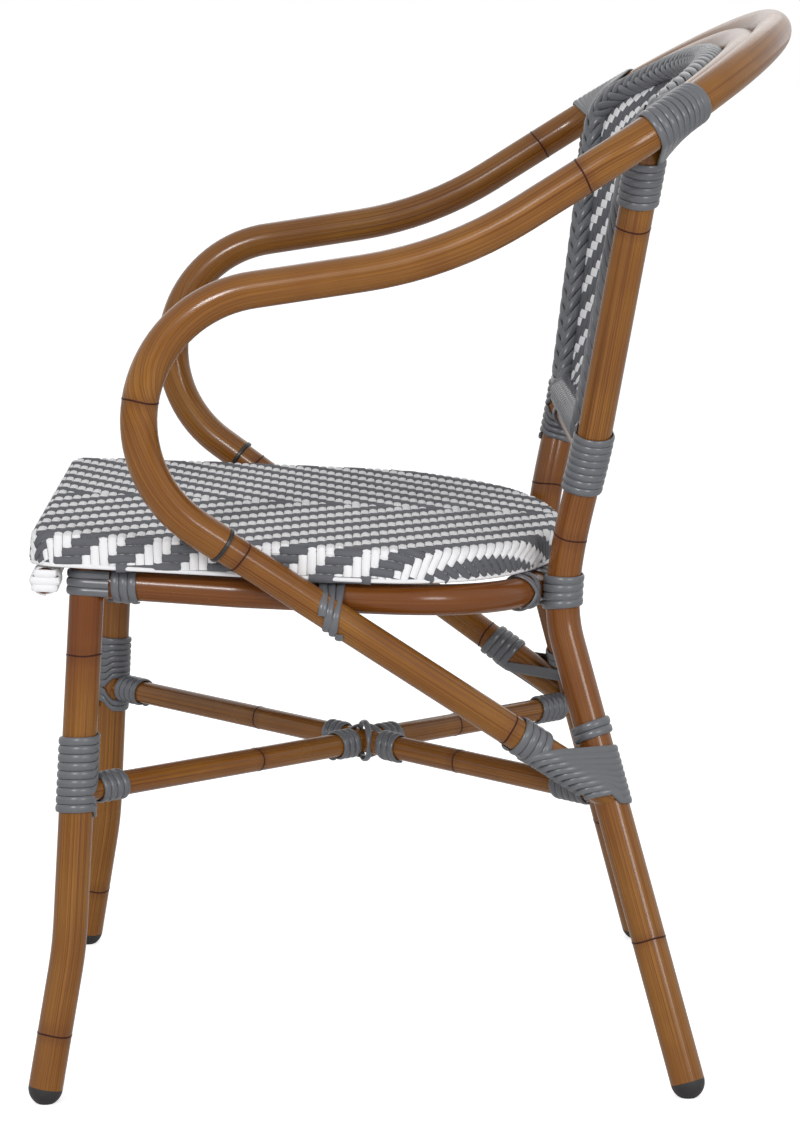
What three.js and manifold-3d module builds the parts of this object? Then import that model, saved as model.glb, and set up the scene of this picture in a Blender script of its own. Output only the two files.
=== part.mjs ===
// Bistro armchair: a rigid frame of bent, welded tubes with a woven seat and back.
// Millimetres, +Z up, the sitter faces -Y, the sitter's left is +X.
import * as THREE from 'three';
import { mergeVertices } from 'three/addons/utils/BufferGeometryUtils.js';
import Module from 'manifold-3d';

const wasm = await Module();
wasm.setup();

// Overall size, from the floor to the top of the outer hoop
const overallHeight = 870;
const gap = 0.3;

// Tube radii and wall
const hoopRadius = 14.5;
const legRadius = 14;
const braceRadius = 13;
const ringRadius = 12.5;
const stretcherRadius = 10;
const backRailRadius = 8;
const frontRailRadius = 9.5;
const tubeWall = 2;
const wideTubeSides = 12;
const slimTubeSides = 10;
const rodSides = 6;

// Strand of the bindings
const strandWidth = 6.2;
const strandThickness = 2;
const strandPitch = 6.8;
const slimStrandWidth = 4.6;
const slimStrandPitch = 7.9;
const loosePitch = 7.3;
const partnerSlack = 1.1;
const lashingHalf = 10.5;
const lashingReach = 21;
const strandLift = strandThickness + gap;

// Front legs: foot, bend and top of the centre line on the +X side
const frontFoot = { x: 251, y: -259.1, z: 12.5 };
const frontBend = { x: 236.6, y: -238.8, z: 126 };
const frontTop = { x: 212.6, y: -219.4, z: 409 };
const frontBendRadius = 300;

// Rear legs: foot and the end of the straight run under the knee
const rearFoot = { x: 252.6, y: 260.3, z: 12.5 };
const kneeStart = { x: 164.2, y: 167.7, z: 361 };
const kneeEnd = { x: 180.8, y: 188.7, z: 534 };
const kneeHandle = 52;

// Foot caps
const capHeight = 14.5;
const capRimShare = 0.25;
const capStem = 22;

// Seat: a tilted slab with bowed sides and a round rear
const seatFront = { y: -264, z: 437.5 };
const seatTilt = THREE.MathUtils.degToRad(3);
const seatThickness = 26;
const seatSkin = 3;
const seatDepth = 434;
const seatFrontHalf = 240;
const seatHalf = 252;
const seatCornerRadius = 20;
const seatRearDepth = 169.5;
const seatPower = 2.08;
const seatFrameRadius = 9;
const slatWidth = 32;
const slatCount = 3;

// Horseshoe tube under the seat
const ringHalf = 234;
const ringPower = 2.6;
const ringSideStart = { x: 232, y: -100 };
const bracePassBack = -34;

// Arms: where the arm's lower end meets its brace, and the bends on the way back
const jointHeight = 459;
const jointBack = -110;
const jointRingWidth = 3;
const jointRingRadius = 15.2;
const spigotReach = 30;
const braceFoot = { x: 198.5, y: 200.5, z: 239 };
const armRest = { y: -65, z: 662.7 };
const armBendRadius = 104;
const armFrontHalf = 300;
const armSlope = 0.145;
const armSaddleBack = 68;
const armSaddleRadius = 320;

// Top arch of the outer hoop: half an ellipse in the plane that rises from the saddles to the apex
const apexBack = 347.8;
const archHalf = 303;
const archReach = 188;
const hoopEaseHalf = 303.5;
const hoopBindingSpread = 31.6;
const archSteps = 9;

// The rear hoop leaves the outer hoop's side at this place along the arch, in degrees
const shoulderDegrees = 18;
const shoulderRadius = 48;
const backBendRadius = 45;
const shoulderClearance = THREE.MathUtils.degToRad(9);

// Back: cross rail, plaited border and woven panel
const backRailHeight = 512;
const braidRadius = 11;
const braidSlotHalf = 5.5;
const braidCorner = 34;
const braidSlack = 3;
const rodRadius = 4.8;
const panelThickness = 5;
const panelBow = 25;
const panelBowPower = 4;
const panelColumns = 8;

// Stretchers
const stretcherFront = { x: 229.5, y: -233, z: 252 };
const stretcherRear = { x: 196, y: 202.6, z: 238 };

const steel = { roughness: 0.35, metalness: 0.3 };
const finishes = {
  tube: new THREE.MeshStandardMaterial({ color: 0x8b5a2b, ...steel }),
  strandGrey: new THREE.MeshStandardMaterial({ color: 0x626469, roughness: 0.5, metalness: 0 }),
  strandWhite: new THREE.MeshStandardMaterial({ color: 0xebebee, roughness: 0.5, metalness: 0 }),
  cap: new THREE.MeshStandardMaterial({ color: 0x232121, roughness: 0.6, metalness: 0 }),
  joint: new THREE.MeshStandardMaterial({ color: 0x1a1a1a, roughness: 0.5, metalness: 0 }),
  alloy: new THREE.MeshStandardMaterial({ color: 0x9a9a9c, roughness: 0.45, metalness: 0.8 }),
};

const vec = (x, y, z) => new THREE.Vector3(x, y, z);
const place = (p, side = 1) => vec(side * p.x, p.y, p.z);

// A centre line given by its stations only, so that a straight run costs one step
class Line extends THREE.Curve {
  constructor(points, tangents, ups) {
    super();
    this.points = points;
    this.tangents = tangents ?? Line.tangentsOf(points);
    this.ups = ups;
    this.ends = [0];
    for (let i = 1; i < points.length; i++) {
      this.ends.push(this.ends[i - 1] + points[i].distanceTo(points[i - 1]));
    }
    this.length = this.ends[points.length - 1];
  }

  static tangentsOf(points) {
    return points.map((p, i) => {
      const before = points[Math.max(i - 1, 0)];
      const after = points[Math.min(i + 1, points.length - 1)];
      const back = p.clone().sub(before).normalize();
      const forth = after.clone().sub(p).normalize();
      return back.add(forth).normalize();
    });
  }

  getPoint(t) {
    return this.points[Math.round(t * (this.points.length - 1))].clone();
  }

  getPointAt(t) {
    return this.getPoint(t);
  }

  getSpacedPoints() {
    return this.points.map((p) => p.clone());
  }

  getTangentAt(t) {
    return this.tangents[Math.round(t * (this.points.length - 1))].clone();
  }

  computeFrenetFrames(steps, closed) {
    if (!this.ups) return super.computeFrenetFrames(steps, closed);
    const normals = this.ups.map((up, i) => across(up, this.tangents[i]));
    const binormals = normals.map((n, i) => this.tangents[i].clone().cross(n));
    return { tangents: this.tangents, normals, binormals };
  }

  // Point and direction at a distance along the line
  at(distance) {
    let i = 1;
    while (i < this.points.length - 1 && this.ends[i] < distance) i++;
    const share = (distance - this.ends[i - 1]) / (this.ends[i] - this.ends[i - 1]);
    const clamped = Math.min(Math.max(share, 0), 1);
    return {
      point: this.points[i - 1].clone().lerp(this.points[i], share),
      along: this.tangents[i - 1].clone().lerp(this.tangents[i], clamped).normalize(),
    };
  }

  // Distance along the line at which one coordinate first reaches a value
  where(axis, value) {
    for (let i = 1; i < this.points.length; i++) {
      const from = this.points[i - 1][axis];
      const to = this.points[i][axis];
      const share = (value - from) / (to - from);
      if (share >= 0 && share <= 1) return this.ends[i - 1] + share * (this.ends[i] - this.ends[i - 1]);
    }
    return this.length;
  }

  mirrored() {
    const flip = (p) => vec(-p.x, p.y, p.z);
    return new Line(this.points.map(flip), this.tangents.map(flip), this.ups?.map(flip));
  }

  stretch(from, to) {
    const inner = this.points.filter((p, i) => this.ends[i] > from + gap && this.ends[i] < to - gap);
    return new Line([this.at(from).point, ...inner, this.at(to).point]);
  }
}

// The part of a vector that is square to a direction, at unit length
function across(vector, along) {
  return vector.clone().addScaledVector(along, -vector.dot(along)).normalize();
}

const fineArcStep = THREE.MathUtils.degToRad(13);
const coarseArcStep = THREE.MathUtils.degToRad(24);

// Corner points with bend radii, as straight runs and arcs; a corner with radius 0 stays a station
function bentPoints(corners, arcStep = fineArcStep) {
  const points = [];
  corners.forEach(({ p, r }, i) => {
    if (!r) {
      points.push(p.clone());
      return;
    }
    const back = corners[i - 1].p.clone().sub(p).normalize();
    const forth = corners[i + 1].p.clone().sub(p).normalize();
    const turn = Math.PI - back.angleTo(forth);
    const reach = r * Math.tan(turn / 2);
    const centre = back.clone().add(forth).normalize().multiplyScalar(r / Math.cos(turn / 2)).add(p);
    const first = p.clone().addScaledVector(back, reach).sub(centre);
    const ahead = back.clone().negate();
    const steps = Math.max(2, Math.ceil(turn / arcStep));
    for (let k = 0; k <= steps; k++) {
      const angle = (turn * k) / steps;
      points.push(
        centre.clone().addScaledVector(first, Math.cos(angle)).addScaledVector(ahead, r * Math.sin(angle)),
      );
    }
  });
  return points;
}

function bezierPoints(start, startWay, end, endWay, handle, steps) {
  const leave = start.clone().addScaledVector(startWay, handle);
  const arrive = end.clone().addScaledVector(endWay, -handle);
  return new THREE.CubicBezierCurve3(start, leave, arrive, end).getPoints(steps);
}

// The value between low and high at which a rising function crosses zero
function solve(rising, low, high) {
  const halvings = 40;
  for (let i = 0; i < halvings; i++) {
    const middle = (low + high) / 2;
    if (rising(middle) > 0) high = middle;
    else low = middle;
  }
  return (low + high) / 2;
}

function leastDistance(line, other) {
  let least = Infinity;
  for (let i = 1; i < other.points.length; i++) {
    for (let j = 1; j < line.points.length; j++) {
      least = Math.min(
        least,
        segmentDistance(line.points[j - 1], line.points[j], other.points[i - 1], other.points[i]),
      );
    }
  }
  return least;
}

function segmentDistance(a, b, c, d) {
  const ab = b.clone().sub(a);
  const cd = d.clone().sub(c);
  const limit = (share) => Math.min(Math.max(share, 0), 1);
  let t = 0;
  let u = 0;
  const rounds = 12;
  for (let i = 0; i < rounds; i++) {
    const p = a.clone().addScaledVector(ab, t);
    u = limit(p.clone().sub(c).dot(cd) / cd.lengthSq());
    const q = c.clone().addScaledVector(cd, u);
    t = limit(q.clone().sub(a).dot(ab) / ab.lengthSq());
  }
  return a.clone().addScaledVector(ab, t).distanceTo(c.clone().addScaledVector(cd, u));
}

function polygon(radius, sides, PathClass = THREE.Shape) {
  const corners = [];
  for (let i = 0; i < sides; i++) {
    const angle = ((i + 0.5) / sides) * 2 * Math.PI;
    corners.push(new THREE.Vector2(radius * Math.cos(angle), radius * Math.sin(angle)));
  }
  return new PathClass(corners);
}

const boreSides = 6;

function sweep(line, section) {
  const options = { steps: line.points.length - 1, extrudePath: line, bevelEnabled: false };
  return new THREE.ExtrudeGeometry(section, options);
}

function rod(line, radius, sides = wideTubeSides) {
  return sweep(line, polygon(radius, sides));
}

function tube(line, radius, sides = wideTubeSides) {
  const section = polygon(radius, sides);
  section.holes.push(polygon(radius - tubeWall, boreSides, THREE.Path));
  return sweep(line, section);
}

// Solids for joins and cuts
function solid(geometry) {
  const bare = geometry.clone();
  bare.deleteAttribute('normal');
  bare.deleteAttribute('uv');
  const merged = mergeVertices(bare, gap / 100);
  return new wasm.Manifold(
    new wasm.Mesh({
      numProp: 3,
      vertProperties: new Float32Array(merged.attributes.position.array),
      triVerts: new Uint32Array(merged.index.array),
    }),
  );
}

function geometryOf(body) {
  const mesh = body.getMesh();
  const geometry = new THREE.BufferGeometry();
  geometry.setAttribute('position', new THREE.BufferAttribute(new Float32Array(mesh.vertProperties), 3));
  geometry.setIndex(new THREE.BufferAttribute(new Uint32Array(mesh.triVerts), 1));
  return geometry;
}

function cut(geometry, cutters) {
  const left = cutters.reduce((body, cutter) => body.subtract(cutter), solid(geometry));
  const pieces = left.decompose().sort((a, b) => b.volume() - a.volume());
  return geometryOf(pieces[0]);
}

// A neighbour's tube grown by the gap, to cope a tube that ends against it
const grown = (line, radius) => solid(rod(line, radius + gap));

// Seat plane: local y runs back along the seat, local z is its upward normal, z 0 its underside
const seatMatrix = new THREE.Matrix4()
  .makeRotationX(-seatTilt)
  .setPosition(0, seatFront.y, seatFront.z);
const onSeat = (x, y, z) => vec(x, y, z).applyMatrix4(seatMatrix);
const seatUp = vec(0, 0, 1).transformDirection(seatMatrix);
const underSeat = (point) => point.clone().sub(onSeat(0, 0, 0)).dot(seatUp);

// Front legs
const frontLegLine = new Line(
  bentPoints([
    { p: place(frontFoot) },
    { p: place(frontBend), r: frontBendRadius },
    { p: place(frontTop).add(vec(0, 0, seatThickness)) },
  ]),
);

// The back's surface: straight up the posts, then bent back into the plane of the top arch
const apexAt = vec(0, apexBack, overallHeight - hoopRadius);
const saddleAt = vec(hoopEaseHalf, armSaddleBack, armRest.z + (armSaddleBack - armRest.y) * armSlope);
const archUp = apexAt.clone().sub(saddleAt).setX(0).normalize();
const archOrigin = apexAt.clone().addScaledVector(archUp, -archReach);
const rearFootAt = place(rearFoot);
const kneeStartAt = place(kneeStart);
const kneeEndAt = place(kneeEnd);

// Place on the outer arch, and its outward normal in the arch plane, at an angle from its start
function archSpot(angle, inset) {
  const spot = { x: archHalf * Math.cos(angle), v: archReach * Math.sin(angle) };
  const normal = new THREE.Vector2(Math.cos(angle) / archHalf, Math.sin(angle) / archReach).normalize();
  return { x: spot.x - inset * normal.x, v: spot.v - inset * normal.y };
}

const hoopStep = hoopRadius + legRadius + gap;
const shoulderAngle = THREE.MathUtils.degToRad(shoulderDegrees);
const shoulder = archSpot(shoulderAngle, hoopStep);
const shoulderAt = archOrigin.clone().addScaledVector(archUp, shoulder.v).setX(shoulder.x);
const postUp = vec(0, shoulderAt.y - kneeEndAt.y, shoulderAt.z - kneeEndAt.z).normalize();
const postRun = Math.hypot(shoulderAt.y - kneeEndAt.y, shoulderAt.z - kneeEndAt.z);
const backTurn = postUp.angleTo(archUp);
const backBendReach = backBendRadius * Math.tan(backTurn / 2);
const backBendStart = postRun - backBendReach;
const backBendLength = backBendRadius * backTurn;
const backCentre = vec(0, kneeEndAt.y, kneeEndAt.z)
  .addScaledVector(postUp, backBendStart)
  .addScaledVector(vec(0, postUp.z, -postUp.y), backBendRadius);

// A flat place (x, s) laid on the back's surface; s is measured up from the knees' upper ends
function onBack(x, s, lift = 0) {
  const start = vec(x, kneeEndAt.y, kneeEndAt.z);
  const behind = vec(0, postUp.z, -postUp.y);
  if (s <= backBendStart) return start.addScaledVector(postUp, s).addScaledVector(behind, lift);
  const turn = Math.min((s - backBendStart) / backBendRadius, backTurn);
  const along = postUp.clone().applyAxisAngle(vec(1, 0, 0), -turn);
  const out = behind.applyAxisAngle(vec(1, 0, 0), -turn);
  const spot = backCentre.clone().setX(x).addScaledVector(out, lift - backBendRadius);
  return spot.addScaledVector(along, Math.max(s - backBendStart - backBendLength, 0));
}

const backNormal = (s) => onBack(0, s, 1).sub(onBack(0, s, 0)).normalize();

// Arc length on the surface of a height v in the arch plane
const archBase = backBendStart + backBendLength - backBendReach - shoulder.v;

// Half outline of a hoop that lies in the back, inset from the inner hoop's centre line: the post line,
// the shoulder's corner and the arch, whose stations stand square to those of the outer arch
function hoopOutline(inset, bottom, cornerRadius) {
  const slope = (shoulder.x - kneeEndAt.x) / postRun;
  const shift = inset * Math.hypot(1, slope);
  const sideX = (s) => kneeEndAt.x + slope * s - shift;
  const angleAt = solve((angle) => {
    const spot = archSpot(angle, hoopStep + inset);
    return sideX(archBase + spot.v) - spot.x;
  }, 0, Math.PI / 4);
  const corner = archSpot(angleAt, hoopStep + inset);
  const corners = cornerRadius ? [{ p: vec(0, bottom, 0) }] : [];
  corners.push({ p: vec(sideX(bottom), bottom, 0), r: cornerRadius });
  corners.push({ p: vec(corner.x, archBase + corner.v, 0), r: shoulderRadius - inset });
  for (let k = 1; k <= archSteps; k++) {
    const angle = (Math.PI / 2) * (k / archSteps);
    const spot = archSpot(angle, hoopStep + inset);
    if (angle > angleAt + shoulderClearance) corners.push({ p: vec(spot.x, archBase + spot.v, 0) });
  }
  return corners;
}

const bendSteps = 3;

// An outline with added points where it crosses the back's bend
function splitAtBend(outline) {
  const split = [];
  outline.forEach((p, i) => {
    if (i > 0) {
      const from = outline[i - 1];
      const inside = [];
      for (let k = 0; k <= bendSteps; k++) {
        const share = (backBendStart + (backBendLength * k) / bendSteps - from.y) / (p.y - from.y);
        const margin = gap / from.distanceTo(p);
        if (share > margin && share < 1 - margin) inside.push(share);
      }
      inside.sort((a, b) => a - b).forEach((share) => split.push(from.clone().lerp(p, share)));
    }
    split.push(p);
  });
  return split;
}

function laidOnBack(outline) {
  const flat = splitAtBend(outline);
  const points = flat.map((p) => onBack(p.x, p.y));
  const ups = flat.map((p) => backNormal(p.y));
  return { points, ups };
}

// Rear hoop: leg, knee, post, shoulder and inner arch on one side, then mirrored
const kneeSteps = 6;
const lowerWay = kneeStartAt.clone().sub(rearFootAt).normalize();
const upperWay = shoulderAt.clone().sub(kneeEndAt).normalize();
const kneePoints = bezierPoints(kneeStartAt, lowerWay, kneeEndAt, upperWay, kneeHandle, kneeSteps);
const innerHalf = laidOnBack(bentPoints(hoopOutline(0, 0))).points;
const rearHalf = [rearFootAt, ...kneePoints, ...innerHalf.slice(1)];
const rearHalfLine = new Line(rearHalf);
const mirrorPoints = (points) => points.map((p) => vec(-p.x, p.y, p.z)).reverse();
const closedHalf = (points) => points.filter((p) => p.x > gap);
const rearHoopLine = new Line([
  ...closedHalf(rearHalf),
  vec(0, rearHalf[rearHalf.length - 1].y, rearHalf[rearHalf.length - 1].z),
  ...mirrorPoints(closedHalf(rearHalf)),
]);

// Seat ring: coped against the front legs, bowed round the rear so that it just touches the posts
const strandFlat = ringRadius + strandLift;
const ringDrop = -strandFlat - gap;
const onRing = (x, y) => {
  const flat = onSeat(x, 0, ringDrop);
  const along = onSeat(x, 1, ringDrop).sub(flat);
  return flat.addScaledVector(along, (y - flat.y) / along.y);
};
function ringPoints(rearReach) {
  const steps = 9;
  const points = [];
  for (let k = 0; k <= steps; k++) {
    const angle = (Math.PI / 2) * (k / steps);
    const x = ringHalf * Math.cos(angle) ** (2 / ringPower);
    points.push(onRing(x, rearReach * Math.sin(angle) ** (2 / ringPower)));
  }
  const legAxis = frontLegLine.at(frontLegLine.where('z', points[0].z)).point;
  const legHigh = frontLegLine.at(frontLegLine.where('z', onRing(0, legAxis.y).z)).point;
  return [onRing(legHigh.x, legHigh.y), onRing(ringSideStart.x, ringSideStart.y), ...points];
}
const ringReach = solve(
  (reach) => ringRadius + legRadius + gap - leastDistance(rearHalfLine, new Line(ringPoints(reach))),
  ringHalf / 2,
  ringHalf,
);
const ringHalfPoints = ringPoints(ringReach);
const ringHalfLine = new Line(ringHalfPoints);
const ringLine = new Line([
  ...ringHalfPoints.slice(0, -1),
  onRing(0, ringReach),
  ...mirrorPoints(ringHalfPoints.slice(0, -1)),
]);

// Braces: straight from the rear legs to the arms, just outside the seat ring
const braceFootAt = place(braceFoot);
const jointAt = (x) => vec(x, jointBack, jointHeight);
const jointX = solve(
  (x) => leastDistance(new Line([jointAt(x), braceFootAt]), ringHalfLine) - ringRadius - braceRadius - gap,
  braceFoot.x + legRadius,
  armFrontHalf + legRadius,
);
const joint = jointAt(jointX);
const braceWay = braceFootAt.clone().sub(joint).normalize();
const jointHalf = jointRingWidth / 2;
const braceLine = new Line([joint.clone().addScaledVector(braceWay, jointHalf + gap), braceFootAt]);

// Outer hoop: lower arm end, front bend, armrest, saddle, rise and half of the top arch
function outerHalfPoints() {
  const r = armBendRadius;
  const forth = vec(0, -braceWay.y, -braceWay.z).normalize();
  const armWay = vec(0, 1, armSlope).normalize();
  const lowSpoke = vec(0, forth.z, -forth.y).multiplyScalar(-1);
  const highSpoke = vec(0, -armWay.z, armWay.y);
  // The bend's centre is a radius away from the brace's line and from the armrest's line
  const jointFlat = vec(0, joint.y, joint.z).addScaledVector(lowSpoke, -r);
  const armFlat = place({ x: 0, ...armRest }).addScaledVector(highSpoke, -r);
  const between = armFlat.clone().sub(jointFlat);
  const reach = between.dot(highSpoke) / forth.dot(highSpoke);
  const centre = jointFlat.clone().addScaledVector(forth, reach);
  const sweepTurn = Math.PI - Math.acos(-forth.dot(armWay));
  const sideSlope = -braceWay.x / Math.hypot(braceWay.y, braceWay.z);
  const lowX = joint.x + sideSlope * reach;
  const steps = 10;
  const length = r * sweepTurn;
  const slope = sideSlope * length;
  const bend = [];
  for (let k = 0; k <= steps; k++) {
    const t = k / steps;
    const spoke = lowSpoke.clone().applyAxisAngle(vec(1, 0, 0), -sweepTurn * t);
    const ease = t * t * (3 - 2 * t);
    const x = lowX + (armFrontHalf - lowX) * ease + slope * t * (1 - t) * (1 - t);
    bend.push(centre.clone().addScaledVector(spoke, r).setX(x));
  }
  const start = joint.clone().addScaledVector(braceWay, -jointHalf - gap);
  const rest = bentPoints([
    { p: bend[steps] },
    { p: saddleAt, r: armSaddleRadius },
    { p: archOrigin.clone().setX(archHalf) },
  ]).slice(1);
  const arch = [];
  for (let k = 1; k <= archSteps; k++) {
    const spot = archSpot((Math.PI / 2) * (k / archSteps), 0);
    arch.push(archOrigin.clone().addScaledVector(archUp, spot.v).setX(Math.max(spot.x, 0)));
  }
  return [start, ...bend, ...rest, ...arch];
}
const outerHalf = outerHalfPoints();
const outerHalfLine = new Line(outerHalf);
const outerHoopLine = new Line([...outerHalf, ...mirrorPoints(outerHalf.slice(0, -1))]);

// Stretchers: a full one and two halves that end against it
const stretcherFullLine = new Line([place(stretcherFront), place(stretcherRear, -1)]);
const crossingShare = stretcherFront.x / (stretcherFront.x + stretcherRear.x);
const crossing = place(stretcherFront).lerp(place(stretcherRear, -1), crossingShare);
const frontHalfLine = new Line([place(stretcherFront, -1), crossing]);
const rearHalfStretcherLine = new Line([place(stretcherRear), crossing]);

// Cross rails
const railPost = rearHalfLine.at(rearHalfLine.where('z', backRailHeight)).point;
const backRailLine = new Line([railPost, vec(-railPost.x, railPost.y, railPost.z)]);
const seatFrameInset = seatSkin + gap + seatFrameRadius;
const frontRailDrop = -(frontRailRadius + strandLift) - gap;
const frontRailAt = onSeat(seatFrontHalf, seatFrameInset, frontRailDrop);
const frontRailLine = new Line([frontRailAt, vec(-frontRailAt.x, frontRailAt.y, frontRailAt.z)]);

// The chair, and a tilted group for what is built on the seat plane
const chair = new THREE.Group();
const seatGroup = new THREE.Group();
seatGroup.applyMatrix4(seatMatrix);
chair.add(seatGroup);

function addPiece(name, geometry, material, group = chair) {
  const mesh = new THREE.Mesh(geometry, material);
  mesh.name = name;
  group.add(mesh);
  return mesh;
}

const sides = [
  { word: 'left', sign: 1 },
  { word: 'right', sign: -1 },
];
const sided = (line, sign) => (sign > 0 ? line : line.mirrored());

// Tubes
const rearCutter = grown(rearHoopLine, legRadius);
const slab = new THREE.BoxGeometry(overallHeight, overallHeight, overallHeight);
const ground = solid(slab.clone().translate(0, 0, -overallHeight / 2));
const seatSlab = solid(
  slab.clone().translate(0, 0, overallHeight / 2 - gap).applyMatrix4(seatMatrix),
);

addPiece('outer_hoop', tube(outerHoopLine, hoopRadius), finishes.tube);
addPiece('rear_hoop', tube(rearHoopLine, legRadius), finishes.tube);

for (const { word, sign } of sides) {
  const leg = sided(frontLegLine, sign);
  addPiece(`front_leg_${word}`, cut(tube(leg, legRadius), [seatSlab]), finishes.tube);
  addPiece(`brace_${word}`, cut(tube(sided(braceLine, sign), braceRadius), [rearCutter]), finishes.tube);
}
const frontCutters = sides.map(({ sign }) => grown(sided(frontLegLine, sign), legRadius));
const braceCutters = sides.map(({ sign }) => grown(sided(braceLine, sign), braceRadius));

addPiece('seat_ring', cut(tube(ringLine, ringRadius), frontCutters), finishes.tube);
addPiece('back_rail', cut(rod(backRailLine, backRailRadius), [rearCutter]), finishes.tube);
addPiece('front_rail', tube(frontRailLine, frontRailRadius), finishes.tube);
const legCutters = [...frontCutters, ...braceCutters, rearCutter];
const fullCutter = grown(stretcherFullLine, stretcherRadius);
addPiece('stretcher_full', cut(tube(stretcherFullLine, stretcherRadius), legCutters), finishes.tube);
const halfStretchers = [
  { word: 'front', line: frontHalfLine },
  { word: 'rear', line: rearHalfStretcherLine },
];
for (const { word, line } of halfStretchers) {
  const half = cut(tube(line, stretcherRadius), [...legCutters, fullCutter]);
  addPiece(`stretcher_half_${word}`, half, finishes.tube);
}

// Joint rings on the arms, with a spigot inside both tubes
const boreFlat = (radius) => (radius - tubeWall) * Math.cos(Math.PI / boreSides) - gap;
for (const { word, sign } of sides) {
  const centre = place(joint, sign);
  const way = vec(sign * braceWay.x, braceWay.y, braceWay.z);
  const about = (reach) => new Line([
    centre.clone().addScaledVector(way, -reach),
    centre.clone().addScaledVector(way, reach),
  ]);
  const spigotRadius = boreFlat(braceRadius);
  const spigot = about(spigotReach);
  const section = polygon(jointRingRadius, wideTubeSides);
  section.holes.push(polygon(spigotRadius + gap, wideTubeSides, THREE.Path));
  addPiece(`joint_ring_${word}`, sweep(about(jointHalf), section), finishes.joint);
  addPiece(`joint_spigot_${word}`, rod(spigot, spigotRadius), finishes.alloy);
}

// Foot caps: a domed end with a stem in the leg's bore, cut flat where it stands
const capProfileSteps = 5;
function footCap(foot, way) {
  const dome = [];
  for (let k = 0; k <= capProfileSteps; k++) {
    const angle = (Math.PI / 2) * (k / capProfileSteps);
    dome.push(new THREE.Vector2(legRadius * Math.sin(angle), -capHeight * Math.cos(angle)));
  }
  const stem = boreFlat(legRadius);
  const profile = [
    ...dome,
    new THREE.Vector2(legRadius, -gap),
    new THREE.Vector2(stem, -gap),
    new THREE.Vector2(stem, capStem),
    new THREE.Vector2(0, capStem),
  ];
  profile[0].x = 0;
  profile[capProfileSteps].y = -capHeight * capRimShare;
  const lathe = new THREE.LatheGeometry(profile, wideTubeSides);
  const turn = new THREE.Quaternion().setFromUnitVectors(vec(0, 1, 0), way);
  lathe.applyQuaternion(turn).translate(foot.x, foot.y, foot.z);
  return cut(lathe, [ground]);
}
for (const { word, sign } of sides) {
  const front = sided(frontLegLine, sign);
  const rear = sided(rearHalfLine, sign);
  addPiece(`foot_cap_front_${word}`, footCap(front.points[0], front.tangents[0]), finishes.cap);
  addPiece(`foot_cap_rear_${word}`, footCap(rear.points[0], rear.tangents[0]), finishes.cap);
}

// Seat outline: straight front, rounded corners, bowed sides and a round rear
function seatOutline(inset) {
  const rearStart = seatDepth - seatRearDepth;
  const frontHalf = seatFrontHalf - inset;
  const half = seatHalf - inset;
  const corner = Math.max(seatCornerRadius - inset, seatCornerRadius / 4);
  const rear = [];
  const rearSteps = 10;
  for (let k = 1; k <= rearSteps; k++) {
    const angle = (Math.PI / 2) * (k / rearSteps);
    rear.push(vec(
      half * Math.cos(angle) ** (2 / seatPower),
      rearStart + (seatRearDepth - inset) * Math.sin(angle) ** (2 / seatPower),
      0,
    ));
  }
  rear[rearSteps - 1].x = 0;
  const bow = new THREE.QuadraticBezierCurve3(
    vec(frontHalf, inset + corner, 0),
    vec(half, rearStart / 2, 0),
    vec(half, rearStart, 0),
  ).getPoints(4);
  const cornerPoints = bentPoints(
    [{ p: vec(0, inset, 0) }, { p: vec(frontHalf, inset, 0), r: corner }, { p: bow[1] }],
    Math.PI / 6,
  ).slice(1, -1);
  const halfPoints = [...cornerPoints, ...bow.slice(1), ...rear];
  const other = halfPoints.slice(0, -1).map((p) => vec(-p.x, p.y, 0)).reverse();
  return [...halfPoints, ...other];
}
const flatShape = (points) => new THREE.Shape(points.map((p) => new THREE.Vector2(p.x, p.y)));
const extrude = (shape, depth) => new THREE.ExtrudeGeometry(shape, { depth, bevelEnabled: false });

const seatBody = extrude(flatShape(seatOutline(0)), seatThickness);
const seatInside = extrude(flatShape(seatOutline(seatSkin)), seatThickness).translate(0, 0, -seatSkin);
addPiece('seat_weave', cut(seatBody, [solid(seatInside)]), finishes.strandWhite, seatGroup);

// Seat frame: one bent tube inside the skirt, its ends butting at the middle of the front
const frameOutline = seatOutline(seatFrameInset).map((p) => p.setZ(seatFrameRadius));
const frameEnd = frameOutline[0].clone().setX(gap);
const frameLine = new Line([frameEnd, ...frameOutline, frameEnd.clone().setX(-gap)]);
addPiece('seat_frame', tube(frameLine, seatFrameRadius, slimTubeSides), finishes.alloy, seatGroup);

// Slats over the frame, under the weave
const slatBase = 2 * seatFrameRadius + gap;
const slatHeight = seatThickness - seatSkin - gap - slatBase;
for (let k = 0; k < slatCount; k++) {
  const y = (seatDepth * (k + 1)) / (slatCount + 1);
  const outline = seatOutline(seatFrameInset);
  const reach = Math.min(...[-slatWidth / 2, slatWidth / 2].map((d) => halfWidthAt(outline, y + d)));
  const slat = new THREE.BoxGeometry(2 * reach, slatWidth, slatHeight);
  slat.translate(0, y, slatBase + slatHeight / 2);
  addPiece(`seat_slat_${k + 1}`, slat, finishes.alloy, seatGroup);
}

function halfWidthAt(outline, y) {
  for (let i = 1; i < outline.length; i++) {
    const from = outline[i - 1];
    const to = outline[i];
    if (from.y <= y && to.y >= y) return from.x + ((to.x - from.x) * (y - from.y)) / (to.y - from.y);
  }
  return 0;
}

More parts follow.
